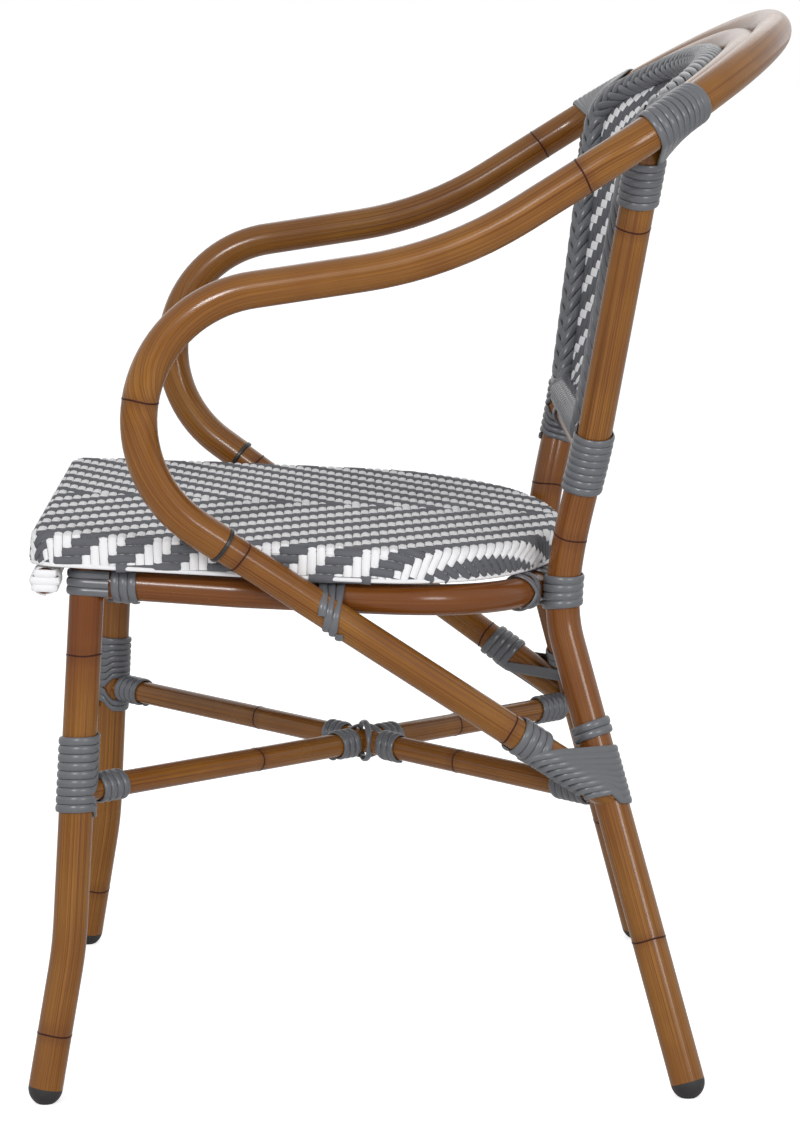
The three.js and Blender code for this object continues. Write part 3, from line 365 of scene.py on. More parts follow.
class BackSurface:
    """The back's surface: straight up the posts, then bent back into the plane of the top arch."""

    def __init__(self, sizes: Sizes) -> None:
        """Works out the surface and the shoulder where the rear hoop leaves the outer one.

        Args:
            sizes: The driving sizes.
        """
        self.sizes = sizes
        self.arch_up = unit(vec(0, 1, sizes.rise_slope))
        apex = sizes.overall_height - sizes.hoop_radius
        self.arch_origin = vec(0, sizes.arch_start, apex - sizes.arch_reach * self.arch_up[2])
        self.knee_end = np.asarray(sizes.knee_end)
        self.hoop_step = sizes.hoop_radius + sizes.leg_radius + sizes.gap
        spot = self.arch_spot(sizes.shoulder_angle, self.hoop_step)
        self.shoulder = self.arch_origin + self.arch_up * spot[1] + vec(spot[0], 0, 0)
        run = (self.shoulder - self.knee_end) * vec(0, 1, 1)
        self.post_run = float(np.linalg.norm(run))
        self.post_up = unit(run)
        self.behind = vec(0, self.post_up[2], -self.post_up[1])
        self.turn = math.acos(float(np.dot(self.post_up, self.arch_up)))
        reach = sizes.back_bend_radius * math.tan(self.turn / 2)
        self.bend_start = self.post_run - reach
        self.bend_length = sizes.back_bend_radius * self.turn
        start = vec(0, self.knee_end[1], self.knee_end[2])
        self.centre = start + self.post_up * self.bend_start + self.behind * sizes.back_bend_radius
        self.arch_base = self.bend_start + self.bend_length - reach - spot[1]

    def arch_spot(self, angle: float, inset: float) -> Array:
        """Place (x, height in the arch's plane) inside the outer arch at an angle from its start."""
        half, reach = self.sizes.arch_half, self.sizes.arch_reach
        normal = unit(np.array([math.cos(angle) / half, math.sin(angle) / reach]))
        return np.array([half * math.cos(angle), reach * math.sin(angle)]) - inset * normal

    def lay(self, x: float | Array, s: float | Array, lift: float | Array = 0.0) -> Array:
        """The point, or points, at x and at s up the surface, lifted off its rear side."""
        x, s, lift = np.broadcast_arrays(*(np.asarray(v, float) for v in (x, s, lift)))
        angle = np.clip((s - self.bend_start) / self.sizes.back_bend_radius, 0, self.turn)
        out = turned(self.behind, angle)
        up = turned(self.post_up, angle)
        spot = self.centre + out * (lift - self.sizes.back_bend_radius)[..., None]
        past = np.maximum(s - self.bend_start - self.bend_length, 0)
        short = np.minimum(s - self.bend_start, 0)
        return spot + up * (past + short)[..., None] + x[..., None] * vec(1, 0, 0)

    def outline(self, inset: float, bottom: float, corner_radius: float) -> Array:
        """Half the outline, in (x, s), of a hoop that lies in the back.

        Args:
            inset: How far inside the rear hoop's centre line it lies.
            bottom: Its lowest s.
            corner_radius: Radius of its lower corner, or 0 where it has no bottom run.

        Returns:
            Places from the bottom to the middle of the top.
        """
        sizes = self.sizes
        slope = (self.shoulder[0] - self.knee_end[0]) / self.post_run
        shift = inset * math.hypot(1, slope)

        def side_x(s: float) -> float:
            return self.knee_end[0] + slope * s - shift

        def beyond(angle: float) -> float:
            spot = self.arch_spot(angle, self.hoop_step + inset)
            return side_x(self.arch_base + spot[1]) - spot[0]

        corner_angle = solve(beyond, 0, math.pi / 4)
        corner = self.arch_spot(corner_angle, self.hoop_step + inset)
        corners = [(vec(0, bottom, 0), 0.0)] if corner_radius else []
        corners.append((vec(side_x(bottom), bottom, 0), corner_radius))
        corner_at = vec(corner[0], self.arch_base + corner[1], 0)
        corners.append((corner_at, sizes.shoulder_radius - inset))
        for angle in np.linspace(corner_angle + sizes.shoulder_clearance, math.pi / 2, 30):
            spot = self.arch_spot(angle, self.hoop_step + inset)
            corners.append((vec(max(spot[0], 0), self.arch_base + spot[1], 0), 0.0))
        return np.array(bent(corners))[:, :2]

    def closed_outline(self, inset: float, bottom: float, corner_radius: float) -> Array:
        """The whole outline, in (x, s), once round from the middle of the bottom."""
        half = self.outline(inset, bottom, corner_radius)
        other = half[::-1] * np.array([-1, 1])
        return np.concatenate([half, other[1:]])


class CentreLines:
    """Centre lines of every tube, on the sitter's left where a tube has two."""

    def __init__(self, sizes: Sizes) -> None:
        """Works out the lines from the driving sizes.

        Args:
            sizes: The driving sizes.
        """
        self.sizes = sizes
        self.seat = SeatPlane(sizes)
        self.back = BackSurface(sizes)
        self.front_leg = self.make_front_leg()
        self.rear_half = self.make_rear_half()
        reach = solve(
            lambda r: sizes.ring_radius + sizes.leg_radius + sizes.gap
            - self.rear_half.clearance(self.make_ring_half(r)),
            sizes.ring_half / 2,
            sizes.ring_half,
        )
        self.ring_half = self.make_ring_half(reach)
        self.brace_foot = np.asarray(sizes.brace_foot)
        joint_x = solve(
            lambda x: Path([self.joint_at(x), self.brace_foot]).clearance(self.ring_half)
            - sizes.ring_radius - sizes.brace_radius - sizes.gap,
            self.brace_foot[0] + sizes.leg_radius,
            sizes.arm_front_half + sizes.leg_radius,
        )
        self.joint = self.joint_at(joint_x)
        self.brace_way = unit(self.brace_foot - self.joint)
        start = sizes.joint_ring_width / 2 + sizes.gap
        self.brace = Path([self.joint + self.brace_way * start, self.brace_foot])
        self.outer_half = self.make_outer_half()
        self.front_node = np.asarray(sizes.stretcher_front)
        self.rear_node = np.asarray(sizes.stretcher_rear)
        share = self.front_node[0] / (self.front_node[0] + self.rear_node[0])
        self.crossing = self.front_node + (flip(self.rear_node, -1) - self.front_node) * share
        self.rail_post = self.rear_half.at(self.rear_half.where(2, sizes.back_rail_height))
        self.frame_inset = sizes.seat_skin + sizes.gap + sizes.seat_frame_radius
        drop = -(sizes.front_rail_radius + sizes.strand_lift) - sizes.gap
        self.front_rail_end = self.seat.lay(sizes.seat_front_half, self.frame_inset, drop)

    def joint_at(self, x: float) -> Array:
        """The place of the black ring for its distance from the middle."""
        return vec(x, self.sizes.joint_back, self.sizes.joint_height)

    def make_front_leg(self) -> Path:
        """The front leg from its foot to the seat."""
        sizes = self.sizes
        top = np.asarray(sizes.front_top) + vec(0, 0, sizes.seat_thickness)
        foot, bend = np.asarray(sizes.front_foot), np.asarray(sizes.front_bend)
        return Path(bent([(foot, 0.0), (bend, sizes.front_bend_radius), (top, 0.0)]))

    def make_rear_half(self) -> Path:
        """The rear hoop from its foot over the knee, post and shoulder to the middle of its arch."""
        sizes, back = self.sizes, self.back
        foot, start = np.asarray(sizes.rear_foot), np.asarray(sizes.knee_start)
        end = np.asarray(sizes.knee_end)
        way_in = unit(start - foot)
        way_out = unit(vec(back.shoulder[0] - end[0], 0, 0) + back.post_up * back.post_run)
        reach = sizes.knee_handle
        knee = bezier(start, start + way_in * reach, end - way_out * reach, end)
        outline = back.outline(0, 0, 0)
        dense = Path(np.column_stack([outline, np.zeros(len(outline))]))
        flat = dense.at(dense.spread(ROUGH_STEP))
        upper = back.lay(flat[:, 0], flat[:, 1])
        return Path([foot, *knee, *upper[1:]])

    def on_ring(self, x: float, y: float) -> Array:
        """The place of the seat ring's centre at x and y."""
        drop = -(self.sizes.ring_radius + self.sizes.strand_lift) - self.sizes.gap
        flat = self.seat.lay(x, 0, drop)
        return flat + self.seat.back * (y - flat[1]) / self.seat.back[1]

    def make_ring_half(self, reach: float) -> Path:
        """Half the seat ring, from the front leg to the middle of the rear.

        Args:
            reach: How far back the ring's centre line goes.

        Returns:
            The line.
        """
        sizes = self.sizes
        points = []
        for angle in np.linspace(0, math.pi / 2, 46):
            x = sizes.ring_half * max(math.cos(angle), 0) ** (2 / sizes.ring_power)
            points.append(self.on_ring(x, reach * math.sin(angle) ** (2 / sizes.ring_power)))
        leg = self.front_leg
        axis = leg.at(leg.where(2, points[0][2]))
        high = leg.at(leg.where(2, self.on_ring(0, axis[1])[2]))
        return Path([self.on_ring(high[0], high[1]), self.on_ring(*sizes.ring_side_start), *points])

    def make_outer_half(self) -> Path:
        """The outer hoop: lower arm end, front bend, armrest, saddle, rise and half the arch."""
        sizes, back = self.sizes, self.back
        radius = sizes.arm_bend_radius
        forth = unit(vec(0, -self.brace_way[1], -self.brace_way[2]))
        arm_way = unit(vec(0, 1, sizes.arm_slope))
        low_spoke = vec(0, -forth[2], forth[1])
        high_spoke = vec(0, -arm_way[2], arm_way[1])
        joint_flat = vec(0, self.joint[1], self.joint[2]) - low_spoke * radius
        arm_flat = vec(0, sizes.arm_rest_y, sizes.arm_rest_z) - high_spoke * radius
        reach = float(np.dot(arm_flat - joint_flat, high_spoke) / np.dot(forth, high_spoke))
        centre = joint_flat + forth * reach
        sweep = math.pi - math.acos(float(-np.dot(forth, arm_way)))
        side_slope = -self.brace_way[0] / math.hypot(self.brace_way[1], self.brace_way[2])
        low_x = self.joint[0] + side_slope * reach
        slope = side_slope * radius * sweep
        bend = []
        for t in np.linspace(0, 1, 49):
            ease = t * t * (3 - 2 * t)
            x = low_x + (sizes.arm_front_half - low_x) * ease + slope * t * (1 - t) ** 2
            bend.append(centre + turned(low_spoke, sweep * t) * radius + vec(x, 0, 0))
        start = self.joint - self.brace_way * (sizes.joint_ring_width / 2 + sizes.gap)
        last = bend[-1]
        origin = back.arch_origin
        height = last[2] - last[1] * sizes.arm_slope - origin[2] + origin[1] * sizes.rise_slope
        saddle_y = height / (sizes.rise_slope - sizes.arm_slope)
        saddle_z = last[2] + (saddle_y - last[1]) * sizes.arm_slope
        saddle = vec(sizes.hoop_ease_half, saddle_y, saddle_z)
        end = origin + vec(sizes.arch_half, 0, 0)
        rest = bent([(last, 0.0), (saddle, sizes.arm_saddle_radius), (end, 0.0)])[1:]
        arch = []
        for angle in np.linspace(0, math.pi / 2, 46)[1:]:
            spot = back.arch_spot(angle, 0)
            arch.append(origin + back.arch_up * spot[1] + vec(max(spot[0], 0), 0, 0))
        return Path([start, *bend, *rest, *arch])

    def whole(self, half: Path) -> Path:
        """A line of which only the left half is kept, run on to its mirror image."""
        return Path([*half.points[:-1], half.points[-1] * vec(0, 1, 1), *flip(half.points[:-1], -1)[::-1]])


class Slot(Enum):
    """The record's material slots."""

    TUBE = "tube"
    GREY = "strand_grey"
    WHITE = "strand_white"
    CAP = "cap"
    JOINT = "joint"


class Section(Enum):
    """Cross-sections that a length of material can have, as shares of its half width and half height."""

    LENS = (
        (-1.0, -0.4), (-0.92, 0.25), (-0.62, 0.78), (0.0, 1.0),
        (0.62, 0.78), (0.92, 0.25), (1.0, -0.4), (0.8, -0.8), (-0.8, -0.8),
    )
    TILE = ((-1.0, -0.5), (-0.74, 0.42), (0.0, 1.0), (0.74, 0.42), (1.0, -0.5), (0.0, -0.9))


@dataclass
class Roll:
    """One length of material, as rings of points along it.

    Attributes:
        rings: Points in millimetres, by station and then round the section.
        along: Distance of each station along the length.
        closed: Whether the last station joins the first.
        shades: Named values that the finish reads, one for each station.
    """

    rings: Array
    along: Array
    closed: bool = False
    shades: dict[str, Array] = field(default_factory=dict)


def deselect() -> None:
    """Leaves nothing selected."""
    bpy.ops.object.select_all(action="DESELECT")


def pick(*objects: Object) -> None:
    """Selects these objects alone and makes the first one active."""
    deselect()
    for chosen in objects:
        chosen.select_set(True)
    bpy.context.view_layer.objects.active = objects[0]


def edit_all() -> None:
    """Opens the active mesh for editing with all of it selected."""
    bpy.ops.object.mode_set(mode="EDIT")
    bpy.ops.mesh.select_all(action="SELECT")


class Maker:
    """Makes meshes from rolls and other shapes, in the row frame."""

    def __init__(self, depth_shift: float) -> None:
        """Keeps what is added to y, in millimetres, to reach the row frame."""
        self.shift = vec(0, depth_shift, 0)

    def to_row(self, points: Array) -> Array:
        """Points in metres in the row frame."""
        return (np.asarray(points, float) + self.shift) * METRE

    def sheet(self, roll: Roll) -> Object:
        """A grid rolled up so that it follows one length of material.

        Args:
            roll: The length.

        Returns:
            The object, its seam still open.
        """
        rings = np.concatenate([roll.rings, roll.rings[:, :1]], axis=1)
        along = roll.along
        values = dict(roll.shades)
        if roll.closed:
            rings = np.concatenate([rings, rings[:1]])
            last = along[-1] + np.linalg.norm(roll.rings[0, 0] - roll.rings[-1, 0])
            along = np.append(along, last)
            values = {name: np.append(v, v[0]) for name, v in values.items()}
        count, width = rings.shape[:2]
        deselect()
        bpy.ops.mesh.primitive_grid_add(x_subdivisions=width - 1, y_subdivisions=count - 1, size=1)
        made = bpy.context.object
        mesh = made.data
        mesh.vertices.foreach_set("co", self.to_row(rings).astype(np.float32).ravel())
        girths = np.linalg.norm(np.diff(rings, axis=1), axis=2).mean(axis=0)
        around = np.concatenate([[0.0], np.cumsum(girths)])
        corners = np.zeros(len(mesh.loops), np.int32)
        mesh.loops.foreach_get("vertex_index", corners)
        chart = np.column_stack([around[corners % width], along[corners // width]]) * METRE
        mesh.uv_layers.active.data.foreach_set("uv", chart.astype(np.float32).ravel())
        for name, value in values.items():
            layer = mesh.attributes.new(name, "FLOAT", "POINT")
            layer.data.foreach_set("value", np.repeat(value, width).astype(np.float32))
        return made

    def bundle(self, name: str, rolls: list[Roll], smooth: float = 35.0) -> Object:
        """Joins lengths of material into one piece, closes its seams and ends and turns its faces outwards.

        Args:
            name: The piece's name.
            rolls: The lengths.
            smooth: Edges that turn less than this many degrees are shaded smooth.

        Returns:
            The piece.
        """
        sheets = [self.sheet(roll) for roll in rolls]
        pick(*sheets)
        if len(sheets) > 1:
            bpy.ops.object.join()
        made = bpy.context.object
        made.matrix_world = Matrix.Identity(4)
        edit_all()
        bpy.ops.mesh.remove_doubles(threshold=METRE / 1000)
        bpy.ops.mesh.select_all(action="SELECT")
        bpy.ops.mesh.fill_holes(sides=0)
        bpy.ops.mesh.select_all(action="SELECT")
        bpy.ops.mesh.normals_make_consistent(inside=False)
        bpy.ops.object.mode_set(mode="OBJECT")
        bpy.ops.object.shade_smooth_by_angle(angle=math.radians(smooth))
        made.name = made.data.name = name
        return made


def frames(path: Path, distances: Array, up: Array) -> tuple[Array, Array, Array]:
    """Points on a line and two directions square to it at each.

    Args:
        path: The line.
        distances: Distances along it.
        up: A direction, or one for each distance, which the first of the two leans to.

    Returns:
        Points, first directions and second directions.
    """
    points = path.at(distances)
    along = path.along(distances)
    first = across(np.broadcast_to(up, along.shape), along)
    return points, first, np.cross(along, first)


def spokes(angles: Array, first: Array, second: Array) -> Array:
    """Directions at angles that are counted from a first direction towards a second one."""
    return np.cos(angles)[..., None] * first + np.sin(angles)[..., None] * second


def round_roll(path: Path, distances: Array, radius: float | Array, sides: int, up: Array) -> Roll:
    """A round length along a line.

    Args:
        path: The line.
        distances: Stations along it.
        radius: Its radius, or one for each station.
        sides: Number of sides.
        up: A direction that is never along the line.

    Returns:
        The roll.
    """
    points, first, second = frames(path, distances, up)
    angles = np.linspace(0, 2 * math.pi, sides, endpoint=False)
    outs = spokes(angles, first[:, None], second[:, None])
    reach = np.broadcast_to(np.asarray(radius, float), distances.shape)[:, None, None]
    return Roll(points[:, None] + outs * reach, distances)


def ring_way(points: Array) -> Array:
    """Direction of a closed line at each of its points."""
    return unit(np.roll(points, -1, axis=0) - np.roll(points, 1, axis=0))


def strand_roll(
    centres: Array, outs: Array, sides: Array, width: float | Array, height: float, closed: bool = False
) -> Roll:
    """A flat strand through centres, with its width along the sides and its crown towards the outs.

    Args:
        centres: Points in the middle of the strand.
        outs: Direction of its crown at each.
        sides: Direction of its width at each.
        width: Its width, or one for each station.
        height: Its thickness.
        closed: Whether its last station joins its first.

    Returns:
        The roll.
    """
    shape = np.array(Section.LENS.value)
    half = np.reshape(width, (-1, 1, 1)) / 2
    wide = shape[None, :, 0, None] * sides[:, None] * half
    tall = shape[None, :, 1, None] * outs[:, None] * height / 2
    steps = np.linalg.norm(np.diff(centres, axis=0), axis=1)
    return Roll(centres[:, None] + wide + tall, np.concatenate([[0.0], np.cumsum(steps)]), closed)


class Nodes:
    """Adds and links nodes in one tree."""

    def __init__(self, tree: NodeTree) -> None:
        """Keeps the tree of a material, group or world, emptied."""
        self.tree = tree
        tree.nodes.clear()

    def add(self, kind: str, settings: dict | None = None, **links: object) -> Node:
        """Adds a node.

        Args:
            kind: Its type.
            settings: Values of the node's own properties.
            **links: For each input, by name with underscores or by i and its number, a value or a socket.

        Returns:
            The node.
        """
        node = self.tree.nodes.new(kind)
        for name, value in (settings or {}).items():
            setattr(node, name, value)
        for name, value in links.items():
            key = int(name[1:]) if name[0] == "i" and name[1:].isdigit() else name.replace("_", " ")
            socket = node.inputs[key]
            if isinstance(value, NodeSocket):
                self.tree.links.new(value, socket)
            else:
                socket.default_value = value
        return node

    def group(self, tree: NodeTree, **links: object) -> Node:
        """A shared effect."""
        return self.add("ShaderNodeGroup", {"node_tree": tree}, **links)

    def attribute(self, name: str) -> NodeSocket:
        """A value that the stations carry."""
        return self.add("ShaderNodeAttribute", {"attribute_name": name}).outputs["Fac"]

    def maths(self, operation: str, *values: object) -> NodeSocket:
        """The result of a sum on values or sockets."""
        links = {f"i{i}": value for i, value in enumerate(values)}
        return self.add("ShaderNodeMath", {"operation": operation}, **links).outputs[0]

    def blend(self, share: object, first: object, second: object) -> NodeSocket:
        """A colour between two colours."""
        return self.add("ShaderNodeMix", {"data_type": "RGBA"}, i0=share, i6=first, i7=second).outputs[2]

    def ramp(self, value: object, low: float, high: float) -> NodeSocket:
        """A value spread from 0 at low to 1 at high."""
        node = self.add("ShaderNodeMapRange", {"interpolation_type": "SMOOTHSTEP"}, i0=value, i1=low, i2=high)
        return node.outputs[0]

    def noise(self, place: object, scale: object, detail: float = 3.0) -> NodeSocket:
        """Cloudy noise at a place."""
        return self.add("ShaderNodeTexNoise", Vector=place, Scale=scale, Detail=detail).outputs[0]


def make_group(name: str, inputs: dict[str, float], outputs: list[str]) -> tuple[NodeTree, Nodes]:
    """Starts a shader node group whose sockets are all plain values.

    Args:
        name: The group's name.
        inputs: Its inputs and their usual values.
        outputs: Its outputs.

    Returns:
        The group and its nodes.
    """
    tree = bpy.data.node_groups.new(name, "ShaderNodeTree")
    for label, value in inputs.items():
        socket = tree.interface.new_socket(label, in_out="INPUT", socket_type="NodeSocketFloat")
        socket.default_value = value
    for label in outputs:
        tree.interface.new_socket(label, in_out="OUTPUT", socket_type="NodeSocketFloat")
    return tree, Nodes(tree)


GRAIN_ACROSS, GRAIN_ALONG = 700.0, 9.0


def long_grain_group() -> NodeTree:
    """Streaks that run along a tube or strand, by its own chart of metres around and along."""
    streak_range, fleck_range, fleck_share = (0.35, 0.7), (0.56, 0.68), 0.37
    usual = {"Across": GRAIN_ACROSS, "Along": GRAIN_ALONG, "Seed": 0.0}
    tree, nodes = make_group("long_grain", usual, ["Streak", "Fleck"])
    given = nodes.add("NodeGroupInput").outputs
    chart = nodes.add("ShaderNodeUVMap", {"uv_map": "UVMap"}).outputs[0]
    parts = nodes.add("ShaderNodeSeparateXYZ", Vector=chart).outputs
    wide = nodes.maths("MULTIPLY", parts[0], given["Across"])
    long = nodes.maths("MULTIPLY", parts[1], given["Along"])
    place = nodes.add("ShaderNodeCombineXYZ", X=wide, Y=long, Z=given["Seed"]).outputs[0]
    streak = nodes.noise(place, scale=1.0, detail=4.0)
    wider = nodes.maths("MULTIPLY", wide, fleck_share)
    bolder = nodes.add("ShaderNodeCombineXYZ", X=wider, Y=long, Z=streak).outputs[0]
    fleck = nodes.ramp(nodes.noise(bolder, scale=1.0, detail=2.0), *fleck_range)
    nodes.add("NodeGroupOutput", Streak=nodes.ramp(streak, *streak_range), Fleck=fleck)
    return tree


def handling_group() -> NodeTree:
    """Faint cloudy change of gloss and tone from handling and dust, over the whole object."""
    cloud_range, dust_range = (0.3, 0.7), (0.4, 0.75)
    tree, nodes = make_group("handling", {"Scale": 14.0, "Fine Scale": 260.0}, ["Cloud", "Dust"])
    given = nodes.add("NodeGroupInput").outputs
    place = nodes.add("ShaderNodeTexCoord").outputs["Object"]
    cloud = nodes.noise(place, given["Scale"])
    dust = nodes.noise(place, given["Fine Scale"])
    nodes.add("NodeGroupOutput", Cloud=nodes.ramp(cloud, *cloud_range), Dust=nodes.ramp(dust, *dust_range))
    return tree


@dataclass(frozen=True)
class Finish:
    """A material of one piece or family of pieces.

    Attributes:
        name: The material's name.
        colour: Main linear colour.
        dark: Linear colour of grain lines and hollows.
        light: Linear colour of worn or raised places.
        rough: Roughness.
        spread: How much the roughness varies.
        coat: Weight of the clear coat.
        gloss: Specular level under the coat.
        metallic: Metallic share.
        grain_across: Grain lines in a metre of girth.
        grain_along: Changes of the grain in a metre of length.
        grain_share: How strongly the grain shows in the colour.
        bump: Depth of the relief in metres.
        bump_share: How strongly the relief shows.
        dust_share: Height of the dust in the relief, as a share of the grain's.
        cloud_share: How strongly the cloudy change shows in the colour.
        coat_rough: Roughness of the clear coat.
    """

    name: str
    colour: tuple
    dark: tuple
    light: tuple
    rough: float = 0.4
    spread: float = 0.08
    coat: float = 0.0
    gloss: float = 0.5
    metallic: float = 0.0
    grain_across: float = GRAIN_ACROSS
    grain_along: float = GRAIN_ALONG
    grain_share: float = 0.5
    bump: float = 0.00004
    bump_share: float = 0.6
    dust_share: float = 0.4
    cloud_share: float = 0.3
    coat_rough: float = 0.1

    def build(self, groups: dict[str, NodeTree]) -> Material:
        """Makes the material.

        Args:
            groups: The shared effects by name.

        Returns:
            The material.
        """
        made = bpy.data.materials.new(self.name)
        made.use_nodes = True
        made.diffuse_color = (*self.colour, 1.0)
        nodes = Nodes(made.node_tree)
        grain = nodes.group(groups["long_grain"], Across=self.grain_across, Along=self.grain_along)
        handling = nodes.group(groups["handling"])
        colour = self.tint(nodes, grain, handling)
        least = self.rough - self.spread / 2
        rough = nodes.maths("MULTIPLY_ADD", handling.outputs["Cloud"], self.spread, least)
        dust = nodes.maths("MULTIPLY", handling.outputs["Dust"], self.dust_share)
        height = nodes.maths("ADD", grain.outputs["Streak"], dust)
        relief = nodes.add("ShaderNodeBump", Strength=self.bump_share, Distance=self.bump, Height=height)
        shader = nodes.add(
            "ShaderNodeBsdfPrincipled",
            Base_Color=colour,
            Roughness=rough,
            Metallic=self.metallic,
            Specular_IOR_Level=self.gloss,
            Coat_Weight=self.coat,
            Coat_Roughness=self.coat_rough,
            Normal=relief.outputs[0],
        )
        nodes.add("ShaderNodeOutputMaterial", Surface=shader.outputs[0])
        return made

    def tint(self, nodes: Nodes, grain: Node, handling: Node) -> NodeSocket:
        """The colour, with its grain and its cloudy change.

        Args:
            nodes: The material's nodes.
            grain: The streaks.
            handling: The cloudy change.

        Returns:
            The colour's socket.
        """
        streak = nodes.maths("MULTIPLY", grain.outputs["Streak"], self.grain_share)
        lined = nodes.blend(streak, (*self.colour, 1.0), (*self.dark, 1.0))
        cloud = nodes.maths("MULTIPLY", handling.outputs["Cloud"], self.cloud_share)
        return nodes.blend(cloud, lined, (*self.light, 1.0))


@dataclass(frozen=True)
class TubePaint(Finish):
    """Wood-look paint: brown streaks, dark flecks, and the tones that each tube's stations carry, which
    include painted shade under the seat.

    Attributes:
        russet_and_shade: Linear colour of the redder, darker places, partly the paint's own tone and partly
            painted shade where tubes lie under the seat.
        scorched: Linear colour round the painted nodes.
        fleck_share: How strongly the flecks show.
        russet_and_shade_share: How strongly the redder places and their painted shade show.
        scorch_share: How strongly the paint darkens round the painted nodes.
    """

    russet_and_shade: tuple = (0.135, 0.033, 0.007)
    scorched: tuple = (0.080, 0.017, 0.005)
    fleck_share: float = 0.5
    russet_and_shade_share: float = 0.8
    scorch_share: float = 0.4

    def tint(self, nodes: Nodes, grain: Node, handling: Node) -> NodeSocket:
        """The colour of the paint, from the same nodes as that of any finish."""
        cloudy = nodes.blend(handling.outputs["Cloud"], (*self.colour, 1.0), (*self.light, 1.0))
        streak = nodes.maths("MULTIPLY", grain.outputs["Streak"], self.grain_share)
        lined = nodes.blend(streak, cloudy, (*self.dark, 1.0))
        fleck = nodes.maths("MULTIPLY", grain.outputs["Fleck"], self.fleck_share)
        flecked = nodes.blend(fleck, lined, (*self.scorched, 1.0))
        # Painted shade in part: the stations' redder tone darkens the paint, partly the paint's own tone and
        # partly shade where tubes lie under the seat.
        red_and_shade = nodes.maths("MULTIPLY", nodes.attribute("russet_and_shade"), self.russet_and_shade_share)
        reddened_and_shaded = nodes.blend(red_and_shade, flecked, (*self.russet_and_shade, 1.0))
        burnt = nodes.maths("MULTIPLY", nodes.attribute("scorch"), self.scorch_share)
        return nodes.blend(burnt, reddened_and_shaded, (*self.scorched, 1.0))


TUBE_PAINT = TubePaint(
    "tube_paint", (0.238, 0.090, 0.013), (0.105, 0.033, 0.005), (0.292, 0.122, 0.018),
    rough=0.24, spread=0.08, coat=0.16, gloss=0.24, grain_across=1400.0, grain_along=3.0, grain_share=0.75,
    bump=0.00003,
)
NODE_PAINT = Finish(
    "node_paint", (0.040, 0.009, 0.004), (0.018, 0.005, 0.003), (0.065, 0.015, 0.006),
    rough=0.45, gloss=0.15, grain_across=400.0, grain_along=60.0,
)
GREY_STRAND = Finish(
    "grey_strand", (0.118, 0.122, 0.134), (0.088, 0.092, 0.103), (0.140, 0.145, 0.158),
    rough=0.30, spread=0.08, gloss=0.50, grain_across=1500.0, grain_along=16.0, grain_share=0.4, bump=0.00002,
)
WHITE_STRAND = Finish(
    "white_strand", (0.80, 0.80, 0.815), (0.70, 0.70, 0.72), (0.84, 0.84, 0.85),
    rough=0.45, spread=0.08, gloss=0.25, grain_across=1500.0, grain_along=16.0, grain_share=0.3, bump=0.00003,
)
WOVEN_GREY = replace(GREY_STRAND, name="woven_grey", rough=0.58, gloss=0.10)
WOVEN_WHITE = replace(WHITE_STRAND, name="woven_white", rough=0.60, gloss=0.10)
CAP_RUBBER = Finish(
    "cap_rubber", (0.018, 0.016, 0.016), (0.010, 0.009, 0.009), (0.032, 0.029, 0.028),
    rough=0.55, spread=0.14, grain_across=300.0, grain_along=300.0, bump=0.00006,
)
JOINT_PLASTIC = Finish(
    "joint_plastic", (0.014, 0.013, 0.013), (0.008, 0.008, 0.008), (0.026, 0.024, 0.023),
    rough=0.35, grain_across=300.0, grain_along=60.0,
)
BARE_ALLOY = Finish(
    "bare_alloy", (0.52, 0.52, 0.53), (0.36, 0.36, 0.37), (0.60, 0.60, 0.61),
    rough=0.42, metallic=0.85, grain_across=1200.0, grain_along=14.0, grain_share=0.4,
)


def stands_for(piece: Object, slot: Slot, material: Material, *nodes: str) -> None:
    """Dresses a new piece, lets it ride on the frame and hides the solids it stands for.

    Args:
        piece: The new piece.
        slot: The record's material slot; not used.
        material: Its finish.
        *nodes: The solids' names.
    """
    piece.data.materials.clear()
    piece.data.materials.append(material)
    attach(piece, "root")
    if nodes:
        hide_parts(*nodes)
    faces = len(piece.data.polygons)
    log.info("%s: %d faces, for %s", piece.name, faces, ", ".join(nodes) or "no solid")


def smooth_step(value: Array | float, low: float, high: float) -> Array:
    """0 below low, 1 above high, and a soft change between."""
    share = np.clip((np.asarray(value, float) - low) / (high - low), 0, 1)
    return share * share * (3 - 2 * share)


@dataclass
class Dresser:
    """Base of the classes that make the looks of some pieces.

    Attributes:
        lines: Centre lines.
        maker: Mesh maker.
    """

    lines: CentreLines
    maker: Maker


@dataclass(frozen=True)
class RussetAndShade:
    """How much redder and darker the paint of a tube is: partly its own tone and partly painted shade where
    it lies under the seat.

    Attributes:
        share: Redness and painted shade of its reddest places.
        rise: Heights between which the redness and painted shade set in, or none.
        fall: Heights between which it ends, or none.
    """

    share: float
    rise: tuple = ()
    fall: tuple = ()

    def at(self, heights: Array) -> Array:
        """Redness and painted shade at heights."""
        red_and_shade = np.full(heights.shape, self.share)
        if self.rise:
            red_and_shade = red_and_shade * smooth_step(heights, *self.rise)
        if self.fall:
            red_and_shade = red_and_shade * (1 - smooth_step(heights, *self.fall))
        return red_and_shade


# Redder, darker paint by height: partly each tube's own tone and partly painted shade on the seat ring,
# rails, leg tops and posts under the seat.
RUSSETS_AND_SHADE = {
    "outer_hoop": RussetAndShade(0.1, (800.0, 860.0)),
    "rear_hoop": RussetAndShade(0.55, (120.0, 330.0), (480.0, 560.0)),
    "front_leg": RussetAndShade(0.9, (300.0, 385.0)),
    "brace": RussetAndShade(0.15, (380.0, 460.0)),
    "seat_ring": RussetAndShade(0.8),
    "back_rail": RussetAndShade(0.6),
    "front_rail": RussetAndShade(0.7),
    "stretcher": RussetAndShade(0.12),
}


